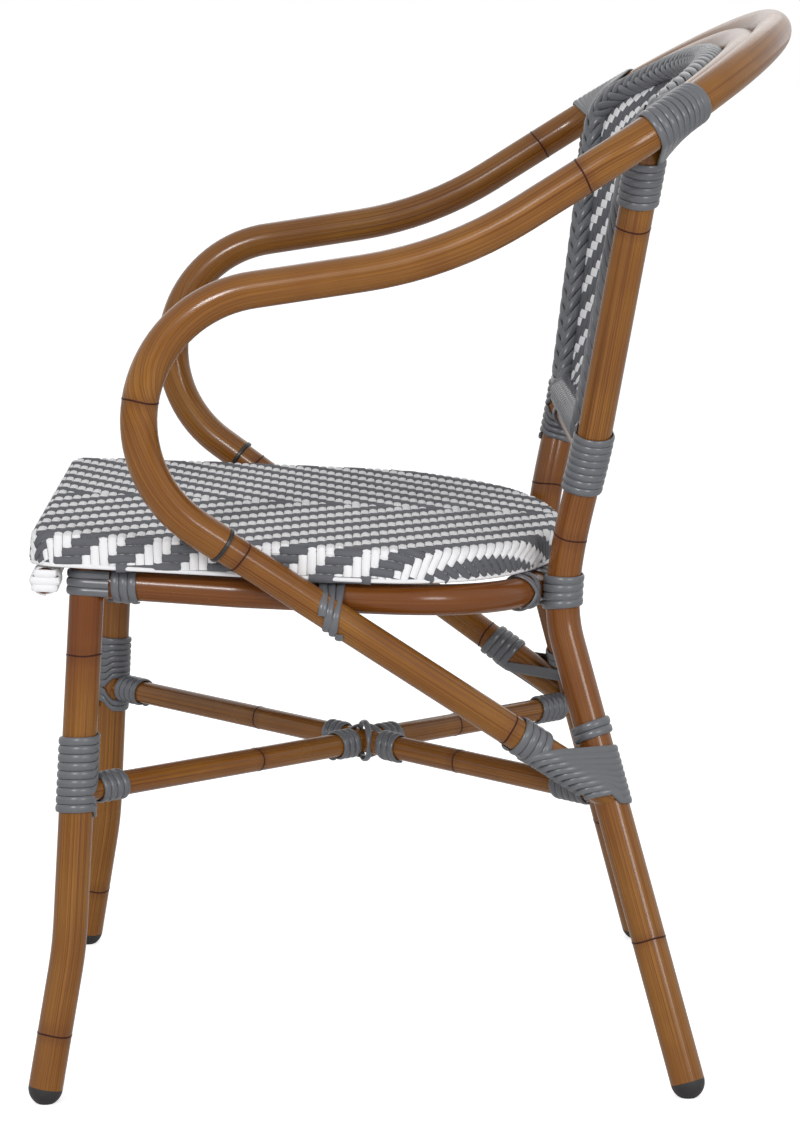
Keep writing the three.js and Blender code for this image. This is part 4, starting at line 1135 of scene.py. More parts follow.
@dataclass
class TubeFrame(Dresser):
    """The bent tubes with their painted nodes.

    Attributes:
        paint: Finish of the tubes.
        node_paint: Finish of the painted nodes.
        node_rolls: The painted nodes made so far.
    """

    paint: Material
    node_paint: Material
    node_rolls: list[Roll] = field(default_factory=list)

    def tube(
        self, name: str, path: Path, radius: float, up: Array, russet_and_shade: RussetAndShade, nodes: Iterable[float] = ()
    ) -> None:
        """Makes one smooth tube in place of the solid of its name, and its painted nodes.

        Args:
            name: The solid's name.
            path: Centre line.
            radius: Radius.
            up: A direction that is never along the line.
            russet_and_shade: How much redder and darker its paint is, partly painted shade.
            nodes: Distances of its painted nodes.
        """
        distances = path.spread(LOOKS.tube_step)
        marks = np.asarray(list(nodes), float)
        roll = round_roll(path, distances, radius, LOOKS.tube_sides, up)
        near = np.abs(distances[:, None] - marks[None]).min(axis=1) if len(marks) else distances + radius
        roll.shades["scorch"] = np.exp(-((near / LOOKS.scorch_reach) ** 2))
        # Redder, darker paint by height, partly painted shade under the seat.
        roll.shades["russet_and_shade"] = russet_and_shade.at(path.at(distances)[:, 2])
        piece = self.maker.bundle(f"{name}_tube", [roll])
        stands_for(piece, Slot.TUBE, self.paint, name)
        for mark in marks:
            self.node_rolls.append(self.node_line(path, mark, radius, up))

    def node_line(self, path: Path, distance: float, radius: float, up: Array) -> Roll:
        """A thin uneven line painted round a tube where cane would have a node."""
        angles = np.linspace(0, 2 * math.pi, LOOKS.node_steps, endpoint=False)
        point, first, second = frames(path, np.array([distance]), up)
        along = np.cross(first, second)
        outs = spokes(angles, first, second)
        stray = np.sin(angles + distance) + LOOKS.node_ripple_share * np.sin(3 * angles + 2 * distance)
        centres = point + outs * radius + stray[:, None] * along * LOOKS.node_wobble
        sides = np.broadcast_to(along, centres.shape)
        return strand_roll(centres, outs, sides, LOOKS.node_width, LOOKS.node_height, True)

    def build(self) -> None:
        """Makes every tube."""
        lines, sizes = self.lines, self.lines.sizes
        up = vec(0, 0, 1)
        half = lines.outer_half
        outer, rear, ring = lines.whole(half), lines.whole(lines.rear_half), lines.whole(lines.ring_half)
        left = [half.where(2, LOOKS.arm_node_height), half.where(1, LOOKS.arm_node_back)]
        both = left + [outer.length - d for d in left]
        self.tube("outer_hoop", outer, sizes.hoop_radius, vec(*LOOKS.outer_up), RUSSETS_AND_SHADE["outer_hoop"], both)
        left = [lines.rear_half.where(2, height) for height in LOOKS.post_node_heights]
        both = left + [rear.length - d for d in left]
        self.tube("rear_hoop", rear, sizes.leg_radius, vec(*LOOKS.rear_up), RUSSETS_AND_SHADE["rear_hoop"], both)
        top = lines.front_leg.where(2, sizes.seat_front_z - LOOKS.leg_top_drop)
        leg = Path(lines.front_leg.at(lines.front_leg.spread(LOOKS.tube_step, 0, top)))
        nodes = [leg.where(2, height) for height in LOOKS.leg_node_heights]
        for side, word in SIDES:
            own = leg.flipped(side)
            self.tube(f"front_leg_{word}", own, sizes.leg_radius, vec(0, 1, 0), RUSSETS_AND_SHADE["front_leg"], nodes)
            brace = lines.brace.flipped(side)
            high, low = LOOKS.brace_node_starts
            marks = (high, brace.length - low)
            self.tube(f"brace_{word}", brace, sizes.brace_radius, vec(1, 0, 0), RUSSETS_AND_SHADE["brace"], marks)
        self.tube("seat_ring", ring, sizes.ring_radius, up, RUSSETS_AND_SHADE["seat_ring"])
        for name, end, radius in (
            ("back_rail", lines.rail_post, sizes.back_rail_radius),
            ("front_rail", lines.front_rail_end, sizes.front_rail_radius),
        ):
            self.tube(name, Path([end, flip(end, -1)]), radius, up, RUSSETS_AND_SHADE[name])
        self.build_stretchers(up)
        stands_for(self.maker.bundle("painted_nodes", self.node_rolls), Slot.TUBE, self.node_paint)

    def build_stretchers(self, up: Array) -> None:
        """Makes the full stretcher and the two halves that butt against it."""
        lines, sizes = self.lines, self.lines.sizes
        runs = {
            "stretcher_full": (lines.front_node, flip(lines.rear_node, -1)),
            "stretcher_half_front": (flip(lines.front_node, -1), lines.crossing),
            "stretcher_half_rear": (lines.rear_node, lines.crossing),
        }
        for name, ends in runs.items():
            path = Path(ends)
            nodes = [path.where(1, back) for back in LOOKS.stretcher_node_backs]
            inner = [d for d in nodes if sizes.leg_radius < d < path.length - sizes.leg_radius]
            self.tube(name, path, sizes.stretcher_radius, up, RUSSETS_AND_SHADE["stretcher"], inner)


@dataclass
class SmallParts(Dresser):
    """The black joint rings on the arms and the domed foot caps.

    Attributes:
        plastic: Finish of the rings.
        rubber: Finish of the caps.
        alloy: Finish of the hidden inner parts.
        ring_edge: Rounding of a joint ring's edges.
    """

    plastic: Material
    rubber: Material
    alloy: Material
    ring_edge: float = 0.5

    def stand_on(self, made: Object, point: Array, way: Array) -> None:
        """Turns an object's z to a direction, moves it to a point and applies its place.

        Args:
            made: The object, in metres about its own origin.
            point: The point in millimetres.
            way: The direction.
        """
        turn = Vector(way).to_track_quat("Z", "Y").to_matrix().to_4x4()
        made.matrix_world = Matrix.Translation(Vector(self.maker.to_row(point))) @ turn
        pick(made)
        bpy.ops.object.transform_apply(location=True, rotation=True, scale=True)

    def joint_ring(self, side: int, word: str) -> None:
        """A turned ring with rounded edges where the arm meets its brace."""
        sizes = self.lines.sizes
        deselect()
        bpy.ops.mesh.primitive_cylinder_add(
            vertices=LOOKS.ring_sides,
            radius=sizes.joint_ring_radius * METRE,
            depth=sizes.joint_ring_width * METRE,
            end_fill_type="NGON",
        )
        made = bpy.context.object
        edit_all()
        bpy.ops.mesh.bevel(offset=self.ring_edge * METRE, segments=3, affect="EDGES")
        bpy.ops.uv.smart_project(angle_limit=math.radians(LOOKS.chart_angle))
        bpy.ops.object.mode_set(mode="OBJECT")
        bpy.ops.object.shade_smooth_by_angle(angle=math.radians(LOOKS.ring_smooth))
        self.stand_on(made, flip(self.lines.joint, side), flip(self.lines.brace_way, side))
        made.name = made.data.name = f"joint_band_{word}"
        stands_for(made, Slot.JOINT, self.plastic, f"joint_ring_{word}")

    def foot_cap(self, name: str, foot: Array, way: Array) -> None:
        """A domed rubber cap: half of a flattened ball on the leg's end, cut flat at the floor.

        Args:
            name: The solid's name.
            foot: End of the leg's centre line.
            way: The leg's direction there.
        """
        sizes = self.lines.sizes
        deselect()
        radius, height = sizes.leg_radius * METRE, sizes.cap_height * METRE
        bpy.ops.mesh.primitive_uv_sphere_add(
            segments=LOOKS.cap_sides, ring_count=LOOKS.cap_sides // 2, radius=radius
        )
        made = bpy.context.object
        made.scale = (1, 1, height / radius)
        bpy.ops.object.transform_apply(scale=True)
        edit_all()
        bpy.ops.mesh.bisect(plane_co=(0, 0, 0), plane_no=(0, 0, 1), use_fill=True, clear_outer=True)
        bpy.ops.object.mode_set(mode="OBJECT")
        self.stand_on(made, foot, way)
        edit_all()
        bpy.ops.mesh.bisect(plane_co=(0, 0, 0), plane_no=(0, 0, -1), use_fill=True, clear_outer=True)
        bpy.ops.mesh.select_all(action="SELECT")
        bpy.ops.mesh.normals_make_consistent(inside=False)
        bpy.ops.object.mode_set(mode="OBJECT")
        bpy.ops.object.shade_smooth_by_angle(angle=math.radians(LOOKS.cap_smooth))
        made.name = made.data.name = name.replace("foot_cap", "domed_foot")
        stands_for(made, Slot.CAP, self.rubber, name)

    def build(self, nodes: dict[str, Object]) -> None:
        """Makes the rings and caps, and dresses the alloy parts inside.

        Args:
            nodes: The CAD nodes by name.
        """
        lines = self.lines
        for side, word in SIDES:
            self.joint_ring(side, word)
            for end, path in (("front", lines.front_leg), ("rear", lines.rear_half)):
                own = path.flipped(side)
                self.foot_cap(f"foot_cap_{end}_{word}", own.points[0], own.along(0.0))
        for name, node in nodes.items():
            if name.startswith(("joint_spigot", "seat_frame", "seat_slat", "back_frame")):
                node.data.materials.clear()
                node.data.materials.append(self.alloy)
                log.info("%s keeps its solid", name)


QUARTER_TURN = 0.25


@dataclass(frozen=True)
class Wind:
    """How a strand is wound round one tube.

    Attributes:
        path: Centre line of the tube.
        radius: Its radius.
        start: Distance at which the winding starts.
        turns: Number of turns.
        up: Direction from which its angles are counted; another tube enters from there, if any does.
        pitch: Distance between turns, and the strand's width.
        entry: Distance at which the other tube enters.
        parting: How far from there the turns keep clear of it, or 0.
        squeeze_share: Pitch beside the other tube as a share of the pitch elsewhere.
    """

    path: Path
    radius: float
    start: float
    turns: int
    up: Array
    pitch: float = SIZES.strand_pitch
    entry: float = 0.0
    parting: float = 0.0
    squeeze_share: float = 0.8


@dataclass
class Bindings(Dresser):
    """The grey and white strands wound round the tubes at every joint.

    Attributes:
        grey: Finish of the grey strand.
        white: Finish of the white strand.
        steps: Stations in a turn.
        thickness: Thickness of the strand.
        part_range: Cosines of a turn's angle to an entering tube between which it comes to keep clear of it.
        crowd_range: Sines of a turn's angle to the chair's inner side between which the turns crowd together.
        least_section: Least squared sine between a tube and the line to its neighbour that is reckoned with.
        post_pitch: Distance between turns on the posts.
    """

    grey: Material
    white: Material
    steps: int = 28
    thickness: float = 2.6
    part_range: tuple = (0.3, 0.85)
    crowd_range: tuple = (0.1, 0.9)
    least_section: float = 0.1
    post_pitch: float = 6.3

    def winding(self, wind: Wind, hand: int) -> Roll:
        """One unbroken strand wound round a tube, its turns parted where another tube enters.

        Args:
            wind: How it is wound.
            hand: 1 or -1 for the way round.

        Returns:
            Its roll.
        """
        count = np.arange(wind.turns * self.steps + 1) / self.steps
        angles = hand * (math.pi / 2 + count * 2 * math.pi)
        distances = wind.start + count * wind.pitch
        widths = np.full(count.shape, wind.pitch)
        if wind.parting:
            facing_count = np.floor(count - QUARTER_TURN) + 1 - QUARTER_TURN
            facing = wind.start + facing_count * wind.pitch - wind.entry
            away = distances - wind.entry
            aside = np.sign(facing) * (wind.parting + wind.squeeze_share * np.abs(away))
            near = smooth_step(np.cos(angles), *self.part_range)
            distances = distances + near * (aside - away)
            widths = widths * (1 - near * (1 - wind.squeeze_share))
        points, first, second = frames(wind.path, distances, wind.up)
        outs = spokes(angles, first, second)
        reach = wind.radius + self.lines.sizes.gap + self.thickness / 2
        return strand_roll(points + outs * reach, outs, wind.path.along(distances), widths, self.thickness)

    def pair_winding(
        self, first: Path, second: Path, radii: tuple, starts: tuple, ends: tuple, turns: int, hand: int,
        width: float = SIZES.strand_pitch, fan: float = 1.0, crowd: float = 0.0, steady: bool = False,
    ) -> Roll:
        """One unbroken strand wound round two tubes that lie beside each other.

        Args:
            first: Centre line of one tube.
            second: Centre line of the other.
            radii: Their radii.
            starts: Distances along both at which the winding starts.
            ends: Distances along both at which it ends.
            turns: Number of turns.
            hand: 1 or -1 for the way round.
            width: Width of the strand.
            fan: Power that crowds the turns at the start on the second tube.
            crowd: Share by which the turns lie closer to the start on the chair's inner side.
            steady: Whether the direction between the tubes is that at the start all along.

        Returns:
            Its roll.
        """
        share = np.linspace(0, 1, turns * self.steps * 2 + 1)
        around = (share * turns * 2 + 1) * math.pi
        share = share * (1 - crowd * smooth_step(-np.sin(around), *self.crowd_range))
        on_first = starts[0] + (ends[0] - starts[0]) * share
        on_second = starts[1] + (ends[1] - starts[1]) * share**fan
        a, b = first.at(on_first), second.at(on_second)
        way_a, way_b = first.along(on_first), second.along(on_second)
        u = unit(b - a)
        if steady:
            u = np.broadcast_to(u[0], u.shape)
        n = unit(np.cross(way_a, u))
        spans, strays = np.sum((b - a) * u, axis=1), np.sum((b - a) * n, axis=1)
        cu, cn = -np.cos(around), hand * np.sin(around)
        spots, values = [], []
        for centre, way, radius in ((a, way_a, radii[0]), (b, way_b, radii[1])):
            reach = radius + self.lines.sizes.gap + self.thickness / 2
            lean = np.abs(np.sum(way * u, axis=1))
            wide = reach / np.sqrt(np.maximum(1 - lean * lean, self.least_section))
            size = np.sqrt((wide * cu) ** 2 + (reach * cn) ** 2)
            step_u, step_n = wide * wide * cu / size, reach * reach * cn / size
            spots.append(centre + step_u[:, None] * u + step_n[:, None] * n)
            values.append(size)
        use_second = ((cu > 0) & (spans * cu + strays * cn + values[1] > values[0]))[:, None]
        centres = np.where(use_second, spots[1], spots[0])
        steps = unit(np.gradient(centres, axis=0) + self.lines.sizes.gap / self.steps**2 * u)
        outs = across(cu[:, None] * u + cn[:, None] * n, steps)
        return strand_roll(centres, outs, np.cross(outs, steps), width, self.thickness)

    def tilted_loop(
        self, path: Path, distance: float, radius: float, tilt: float, out: Array, lift: float = 0.0
    ) -> Roll:
        """A closed loop round a tube in a plane that is tilted about an outward direction.

        Args:
            path: Centre line of the tube.
            distance: Where its middle is.
            radius: Radius that it clears.
            tilt: Angle between its plane and the tube's square section.
            out: The outward direction on which it tilts.
            lift: Extra height over the tube.

        Returns:
            Its roll.
        """
        angles = np.linspace(0, 2 * math.pi, 2 * self.steps, endpoint=False)
        point, first, second = frames(path, np.array([distance]), out)
        along = path.along(np.array([distance]))
        outs = spokes(angles, first, second)
        reach = radius + lift + self.lines.sizes.gap + self.thickness / 2
        stray = np.sin(angles)[:, None] * along * math.tan(tilt) * reach
        centres = point + outs * reach + stray
        sides = np.cross(outs, ring_way(centres))
        return strand_roll(centres, outs, sides, self.lines.sizes.strand_width, self.thickness, True)

    def tee(
        self, path: Path, radius: float, height: float, way: Array, other: float, turns: tuple, pitch: float
    ) -> Wind:
        """A winding over the place where another tube enters.

        Args:
            path: Centre line of the tube.
            radius: Its radius.
            height: Height at which the other tube enters.
            way: The other tube's direction.
            other: The other tube's radius.
            turns: Number of turns below and above.
            pitch: Distance between turns.

        Returns:
            The winding.
        """
        entry = path.where(2, height)
        lean = float(np.dot(path.along(entry), way))
        parting = (other + self.lines.sizes.gap) / math.sqrt(1 - lean * lean)
        start = entry - (turns[0] + QUARTER_TURN) * pitch
        return Wind(path, radius, start, sum(turns), way, pitch, entry, parting)

    def sleeve_start(
        self, leg_way: Array, tube_way: Array, tube_radius: float, leg_radius: float = SIZES.leg_radius
    ) -> float:
        """Distance from a leg's axis at which a sleeve on an entering tube clears the leg's binding.

        Args:
            leg_way: Direction of the leg.
            tube_way: Direction of the tube.
            tube_radius: The tube's radius.
            leg_radius: Radius of the leg, or of another tube that the tube enters.

        Returns:
            The distance.
        """
        sizes = self.lines.sizes
        lean = abs(float(np.dot(leg_way, tube_way)))
        sine = math.sqrt(1 - lean * lean)
        leg_reach = leg_radius + sizes.gap + self.thickness
        own = tube_radius + sizes.gap + self.thickness
        return (leg_reach + own * lean) / sine + sizes.strand_width / 2

    def dress(
        self, stem: str, word: str, rolls: list[Roll], noun: str = "binding", white: bool = False
    ) -> None:
        """Makes one joint's strands of some rolls, in place of its solid.

        Args:
            stem: The joint's name.
            word: Its side or end.
            rolls: The rolls.
            noun: What its solid is called, or nothing where there is none.
            white: Whether the strand is white.
        """
        slot, material = (Slot.WHITE, self.white) if white else (Slot.GREY, self.grey)
        nodes = [f"{stem}_{noun}_{word}"] if noun else []
        stands_for(self.maker.bundle(f"{stem}_wrap_{word}", rolls), slot, material, *nodes)

    def build(self) -> None:
        """Makes the bindings of both sides and of the crossing."""
        for side, word in SIDES:
            self.build_front(side, word)
            self.build_rear(side, word)
            self.build_leg_top(side, word)
            self.build_brace_ring(side, word)
            self.build_seat_lashing(side, word)
            self.build_rail_end(side, word)
            self.build_back_joints(side, word)
        self.build_crossing()

    def build_front(self, side: int, word: str) -> None:
        """The winding of a front leg over its stretcher, and the sleeve on the stretcher."""
        lines, sizes = self.lines, self.lines.sizes
        leg, radius = lines.front_leg.flipped(side), sizes.stretcher_radius
        node, crossing = flip(lines.front_node, side), lines.crossing
        height, way = sizes.stretcher_front[2], unit(crossing - node)
        wind = self.tee(leg, sizes.leg_radius, height, way, radius, (2, 7), sizes.strand_pitch)
        self.dress("front_leg", word, [self.winding(wind, side)])
        begin = self.sleeve_start(leg.along(wind.entry), way, radius)
        sleeve = self.sleeve(Path([node, crossing]), radius, begin, 4, side)
        self.dress("front_stretcher", word, [sleeve])

    def build_rear(self, side: int, word: str) -> None:
        """The strand round a rear leg and its brace, and the sleeves beside it."""
        lines, sizes = self.lines, self.lines.sizes
        leg, brace = lines.rear_half.flipped(side), lines.brace.flipped(side)
        node = flip(lines.rear_node, side)
        way = unit(lines.crossing - node)
        leg_up = leg.along(leg.where(2, sizes.stretcher_rear[2]))
        high, low = leg.where(2, LOOKS.rear_leg_wind_high), leg.where(2, LOOKS.rear_leg_wind_low)
        begin = brace.where(2, LOOKS.brace_wind_high)
        both = self.pair_winding(
            leg, brace, (sizes.leg_radius, sizes.brace_radius), (high, begin), (low, brace.length), 9, side,
            crowd=LOOKS.rear_crowd, steady=True,
        )
        start = high + LOOKS.rear_above_turns * sizes.strand_pitch
        above = Wind(leg, sizes.leg_radius, start, 2, vec(0, 1, 0))
        self.dress("rear_leg", word, [both, self.winding(above, side)])
        start = begin - LOOKS.brace_sleeve_turns * sizes.strand_pitch
        self.dress("brace_end", word, [self.sleeve(brace, sizes.brace_radius, start, 4, side)])
        begin = self.sleeve_start(leg_up, way, sizes.stretcher_radius)
        sleeve = self.sleeve(Path([node, lines.crossing]), sizes.stretcher_radius, begin, 5, side)
        self.dress("rear_stretcher", word, [sleeve])

    def build_leg_top(self, side: int, word: str) -> None:
        """The sleeve on the seat ring's front end, and the straps from there round the front leg."""
        lines, sizes = self.lines, self.lines.sizes
        leg, ring = lines.front_leg.flipped(side), lines.ring_half.flipped(side)
        join = leg.where(2, ring.points[0][2])
        inward, up = ring.along(0.0), leg.along(join)
        begin = self.sleeve_start(up, inward, sizes.ring_radius)
        self.dress("ring_end", word, [self.sleeve(ring, sizes.ring_radius, begin, 3, side)])
        lift = sizes.gap + self.thickness / 2
        half = sizes.leg_radius + lift
        rolls = []
        for height in (-sizes.strand_pitch, 0.0, sizes.strand_pitch):
            end_half = math.sqrt(sizes.ring_radius**2 - height**2) + lift
            middle = leg.at(join) + up * height
            rolls.append(self.strap(middle, inward, up, (half, end_half), half, begin, sizes.strand_pitch))
        self.dress("leg_top", word, rolls, "lashing")

    def build_brace_ring(self, side: int, word: str) -> None:
        """The strand round the seat ring and the brace that passes it."""
        sizes = self.lines.sizes
        ring, brace = self.lines.ring_half.flipped(side), self.lines.brace.flipped(side)
        start = ring.where(1, sizes.brace_pass_back)
        end = start + 3 * sizes.loose_pitch
        middle = (brace.nearest(ring.at(start)) + brace.nearest(ring.at(end))) / 2
        half = 3 * sizes.strand_pitch / 2
        roll = self.pair_winding(
            ring, brace, (sizes.ring_radius, sizes.brace_radius),
            (start, middle - half), (end, middle + half), 3, side,
        )
        self.dress("brace_ring", word, [roll])

    def build_seat_lashing(self, side: int, word: str) -> None:
        """The turns round a post where the seat ring touches it, and the crossed loops round the ring."""
        sizes = self.lines.sizes
        ring, post = self.lines.ring_half.flipped(side), self.lines.rear_half.flipped(side)
        height = ring.points[-1][2]
        join = post.where(2, float(ring.at(ring.nearest(post.at(post.where(2, height))))[2]))
        at_ring = ring.nearest(post.at(join))
        wind = Wind(post, sizes.leg_radius, join - 2 * sizes.strand_pitch, 4, vec(0, 1, 0))
        rolls = [self.winding(wind, side)]
        out = post.at(join) - ring.at(at_ring)
        reach = sizes.leg_radius + sizes.strand_width
        for shift in (-reach, reach):
            for tilt in (LOOKS.lashing_tilt, -LOOKS.lashing_tilt):
                rolls.append(self.tilted_loop(ring, at_ring + shift, sizes.ring_radius, tilt, out))
        self.dress("seat", word, rolls, "lashing")

    def build_rail_end(self, side: int, word: str) -> None:
        """The white strands over an end of the front rail, and the winding behind them."""
        lines, sizes = self.lines, self.lines.sizes
        rail = Path([flip(lines.front_rail_end, side), lines.front_rail_end * vec(0, 1, 1)])
        start, radius = sizes.strand_pitch / 2 + self.thickness, sizes.front_rail_radius
        rolls = [self.sleeve(rail, radius, start, 3, side)]
        lift = sizes.gap + self.thickness / 2
        for share in LOOKS.rail_end_strand_heights:
            half = radius * math.sqrt(1 - share * share) + lift
            middle = rail.points[0] + lines.seat.up * radius * share
            halves, width = (half, half), sizes.strand_width
            rolls.append(self.strap(middle, rail.along(0.0), lines.seat.up, halves, lift, 2 * radius, width))
        self.dress("rail_end", word, rolls, white=True)

    def sleeve(self, path: Path, radius: float, start: float, turns: int, hand: int) -> Roll:
        """A plain winding whose ends are on the tube's underside."""
        under = hand * np.cross(vec(0, 0, -1), path.along(start))
        return self.winding(Wind(path, radius, start, turns, under), hand)

    def strap(
        self, middle: Array, inward: Array, up: Array, halves: tuple, nose: float, reach: float, width: float
    ) -> Roll:
        """A strand laid over a tube's end or round a post, with its two ends back along the tube.

        Args:
            middle: Middle of what it is laid over.
            inward: Direction of its ends.
            up: Direction of its width.
            halves: Half the distance between its sides at the bend and at its ends.
            nose: How far in front of the middle it passes.
            reach: How far its ends lie inward of the middle.
            width: Its width.

        Returns:
            Its roll.
        """
        half, end_half = halves
        away = unit(np.cross(inward, up))
        bend = max(self.thickness, LOOKS.strap_bend_share * nose)
        spots = ((end_half, reach, 0.0), (half, -nose, bend), (-half, -nose, bend), (-end_half, reach, 0.0))
        line = Path(bent([(middle + away * y + inward * x, radius) for y, x, radius in spots]))
        distances = line.spread(FINE_STEP)
        centres, way = line.at(distances), line.along(distances, SEARCH_STEP)
        outs = across(centres - middle - inward * (half - nose), way)
        return strand_roll(centres, outs, np.cross(outs, way), width, self.thickness)

    def build_back_joints(self, side: int, word: str) -> None:
        """The windings on a post and round both hoops at the shoulder."""
        lines, sizes = self.lines, self.lines.sizes
        post, outer = lines.rear_half.flipped(side), lines.outer_half.flipped(side)
        way = vec(-side, 0, 0)
        height, radius = sizes.back_rail_height, sizes.back_rail_radius
        wind = self.tee(post, sizes.leg_radius, height, way, radius, (4, 4), self.post_pitch)
        begin = self.sleeve_start(post.along(wind.entry), way, radius)
        rail = Path([post.at(wind.entry), post.at(wind.entry) * vec(0, 1, 1)])
        knob = self.sleeve(rail, radius, begin, 2, side)
        self.dress("post_middle", word, [self.winding(wind, side), knob])
        top = post.where(2, float(lines.back.lay(0, lines.back.bend_start)[2]))
        start = top - LOOKS.post_top_turns * self.post_pitch
        wind = Wind(post, sizes.leg_radius, start, 6, vec(0, 1, 0), self.post_pitch)
        self.dress("post_top", word, [self.winding(wind, side)])
        back, turns = LOOKS.shoulder_starts_and_turns[0 if side > 0 else 1]
        low, high = outer.where(1, back), outer.where(1, LOOKS.shoulder_end_back)
        roll = self.pair_winding(
            outer, post, (sizes.hoop_radius, sizes.leg_radius),
            (low, top + self.post_pitch / 2), (high, post.nearest(outer.at(high))), turns, side,
            width=self.post_pitch, fan=LOOKS.shoulder_fan,
        )
        self.dress("hoop", word, [roll])

    def build_crossing(self) -> None:
        """The sleeves and diagonal strands where the stretchers cross."""
        lines, radius = self.lines, self.lines.sizes.stretcher_radius
        crossing, rear = lines.crossing, flip(lines.rear_node, -1)
        half_way = unit(lines.rear_node - crossing)
        for word, end in (("front", lines.front_node), ("rear", rear)):
            start = self.sleeve_start(unit(end - crossing), half_way, radius, radius)
            self.dress("crossing", word, [self.sleeve(Path([crossing, end]), radius, start, 3, 1)])
        rolls = []
        for end in (lines.rear_node, flip(lines.front_node, -1)):
            start = LOOKS.crossing_sleeve_share * radius
            rolls.append(self.sleeve(Path([crossing, end]), radius, start, 3, 1))
        full = Path([lines.front_node, rear])
        middle = full.nearest(crossing)
        girth = LOOKS.crossing_loop_share * radius
        for tilt, lift in ((LOOKS.crossing_tilt, 0.0), (-LOOKS.crossing_tilt, self.thickness)):
            rolls.append(self.tilted_loop(full, middle, girth, tilt, vec(0, 0, 1), lift))
        self.dress("crossing", "middle", rolls, noun="")


Place = Callable[[Array, Array, Array], Array]
Kept = Callable[[Array, Array], Array]


@dataclass
class Twill:
    """Two sets of flat strands, each over and under several at once, with chevrons on the middle line.

    Attributes:
        pitch: Distance between neighbouring strands.
        width: Width of a strand.
        thickness: Its thickness.
        rise: How far its middle goes up and down.
        floats: Number of strands that a strand across passes over at once.
        dips: Number of strands that it passes under at once.
        plateau_share: Half the share of the pitch over which a strand keeps its height at a crossing.
        end_height_share: Height of a float's outer crossings as a share of its middle one.
    """

    pitch: float = 7.2
    width: float = 6.9
    thickness: float = 2.0
    rise: float = 0.9
    floats: int = 3
    dips: int = 3
    plateau_share: float = 0.3
    end_height_share: float = 0.86

    def height(self, column: Array, row: Array) -> Array:
        """Height of the strand across at a crossing; the other strand has the opposite height."""
        phase = np.mod(np.abs(column) + row, self.floats + self.dips)
        over = np.where(phase < self.floats, 1.0, -1.0)
        middle = (phase == (self.floats - 1) / 2) | (phase == self.floats + (self.dips - 1) / 2)
        return over * np.where(middle, 1.0, self.end_height_share) * self.rise

    def strand(self, index: int, others: Array, crosswise: bool, place: Place, kept: Kept) -> list[Roll]:
        """One strand of the weave, cut where the weave ends.

        Args:
            index: Number of the strand in its set.
            others: Numbers of the strands that it crosses.
            crosswise: Whether it runs across, with x.
            place: Turns (x, y, height) on the weave into points.
            kept: Whether a place belongs to the weave.

        Returns:
            Its rolls, none or one or more.
        """
        shift = self.plateau_share * self.pitch
        run = (others[:, None] * self.pitch + np.array([-shift, shift])).ravel()
        cells = np.repeat(others, 2)
        if crosswise:
            levels = self.height(cells, np.full(cells.shape, index))
        else:
            levels = -self.height(np.full(cells.shape, index), cells)
        line = np.full(run.shape, index * self.pitch)
        flat = (run, line) if crosswise else (line, run)
        inside = kept(*flat)
        rolls = []
        starts = np.flatnonzero(inside & ~np.concatenate([[False], inside[:-1]]))
        ends = np.flatnonzero(inside & ~np.concatenate([inside[1:], [False]]))
        shape = np.array(Section.TILE.value)
        for first, last in zip(starts, ends):
            if last - first < 2:
                continue
            part = slice(first, last + 1)
            wide = line[part, None] + shape[None, :, 0] * self.width / 2
            long = np.broadcast_to(run[part, None], wide.shape)
            lift = levels[part, None] + shape[None, :, 1] * self.thickness / 2
            rings = place(long, wide, lift) if crosswise else place(wide, long, lift)
            rolls.append(Roll(rings, run[part] - run[first]))
        return rolls

    def cloth(self, columns: range, rows: range, place: Place, kept: Kept) -> tuple[list[Roll], list[Roll]]:
        """Both sets of strands.

        Args:
            columns: Numbers of the strands that run with y.
            rows: Numbers of the strands that run with x.
            place: Turns (x, y, height) on the weave into points.
            kept: Whether a place belongs to the weave.

        Returns:
            The rolls of the strands across and of the strands that cross them.
        """
        along_x = [self.strand(row, np.array(columns), True, place, kept) for row in rows]
        along_y = [self.strand(column, np.array(rows), False, place, kept) for column in columns]
        return sum(along_x, []), sum(along_y, [])


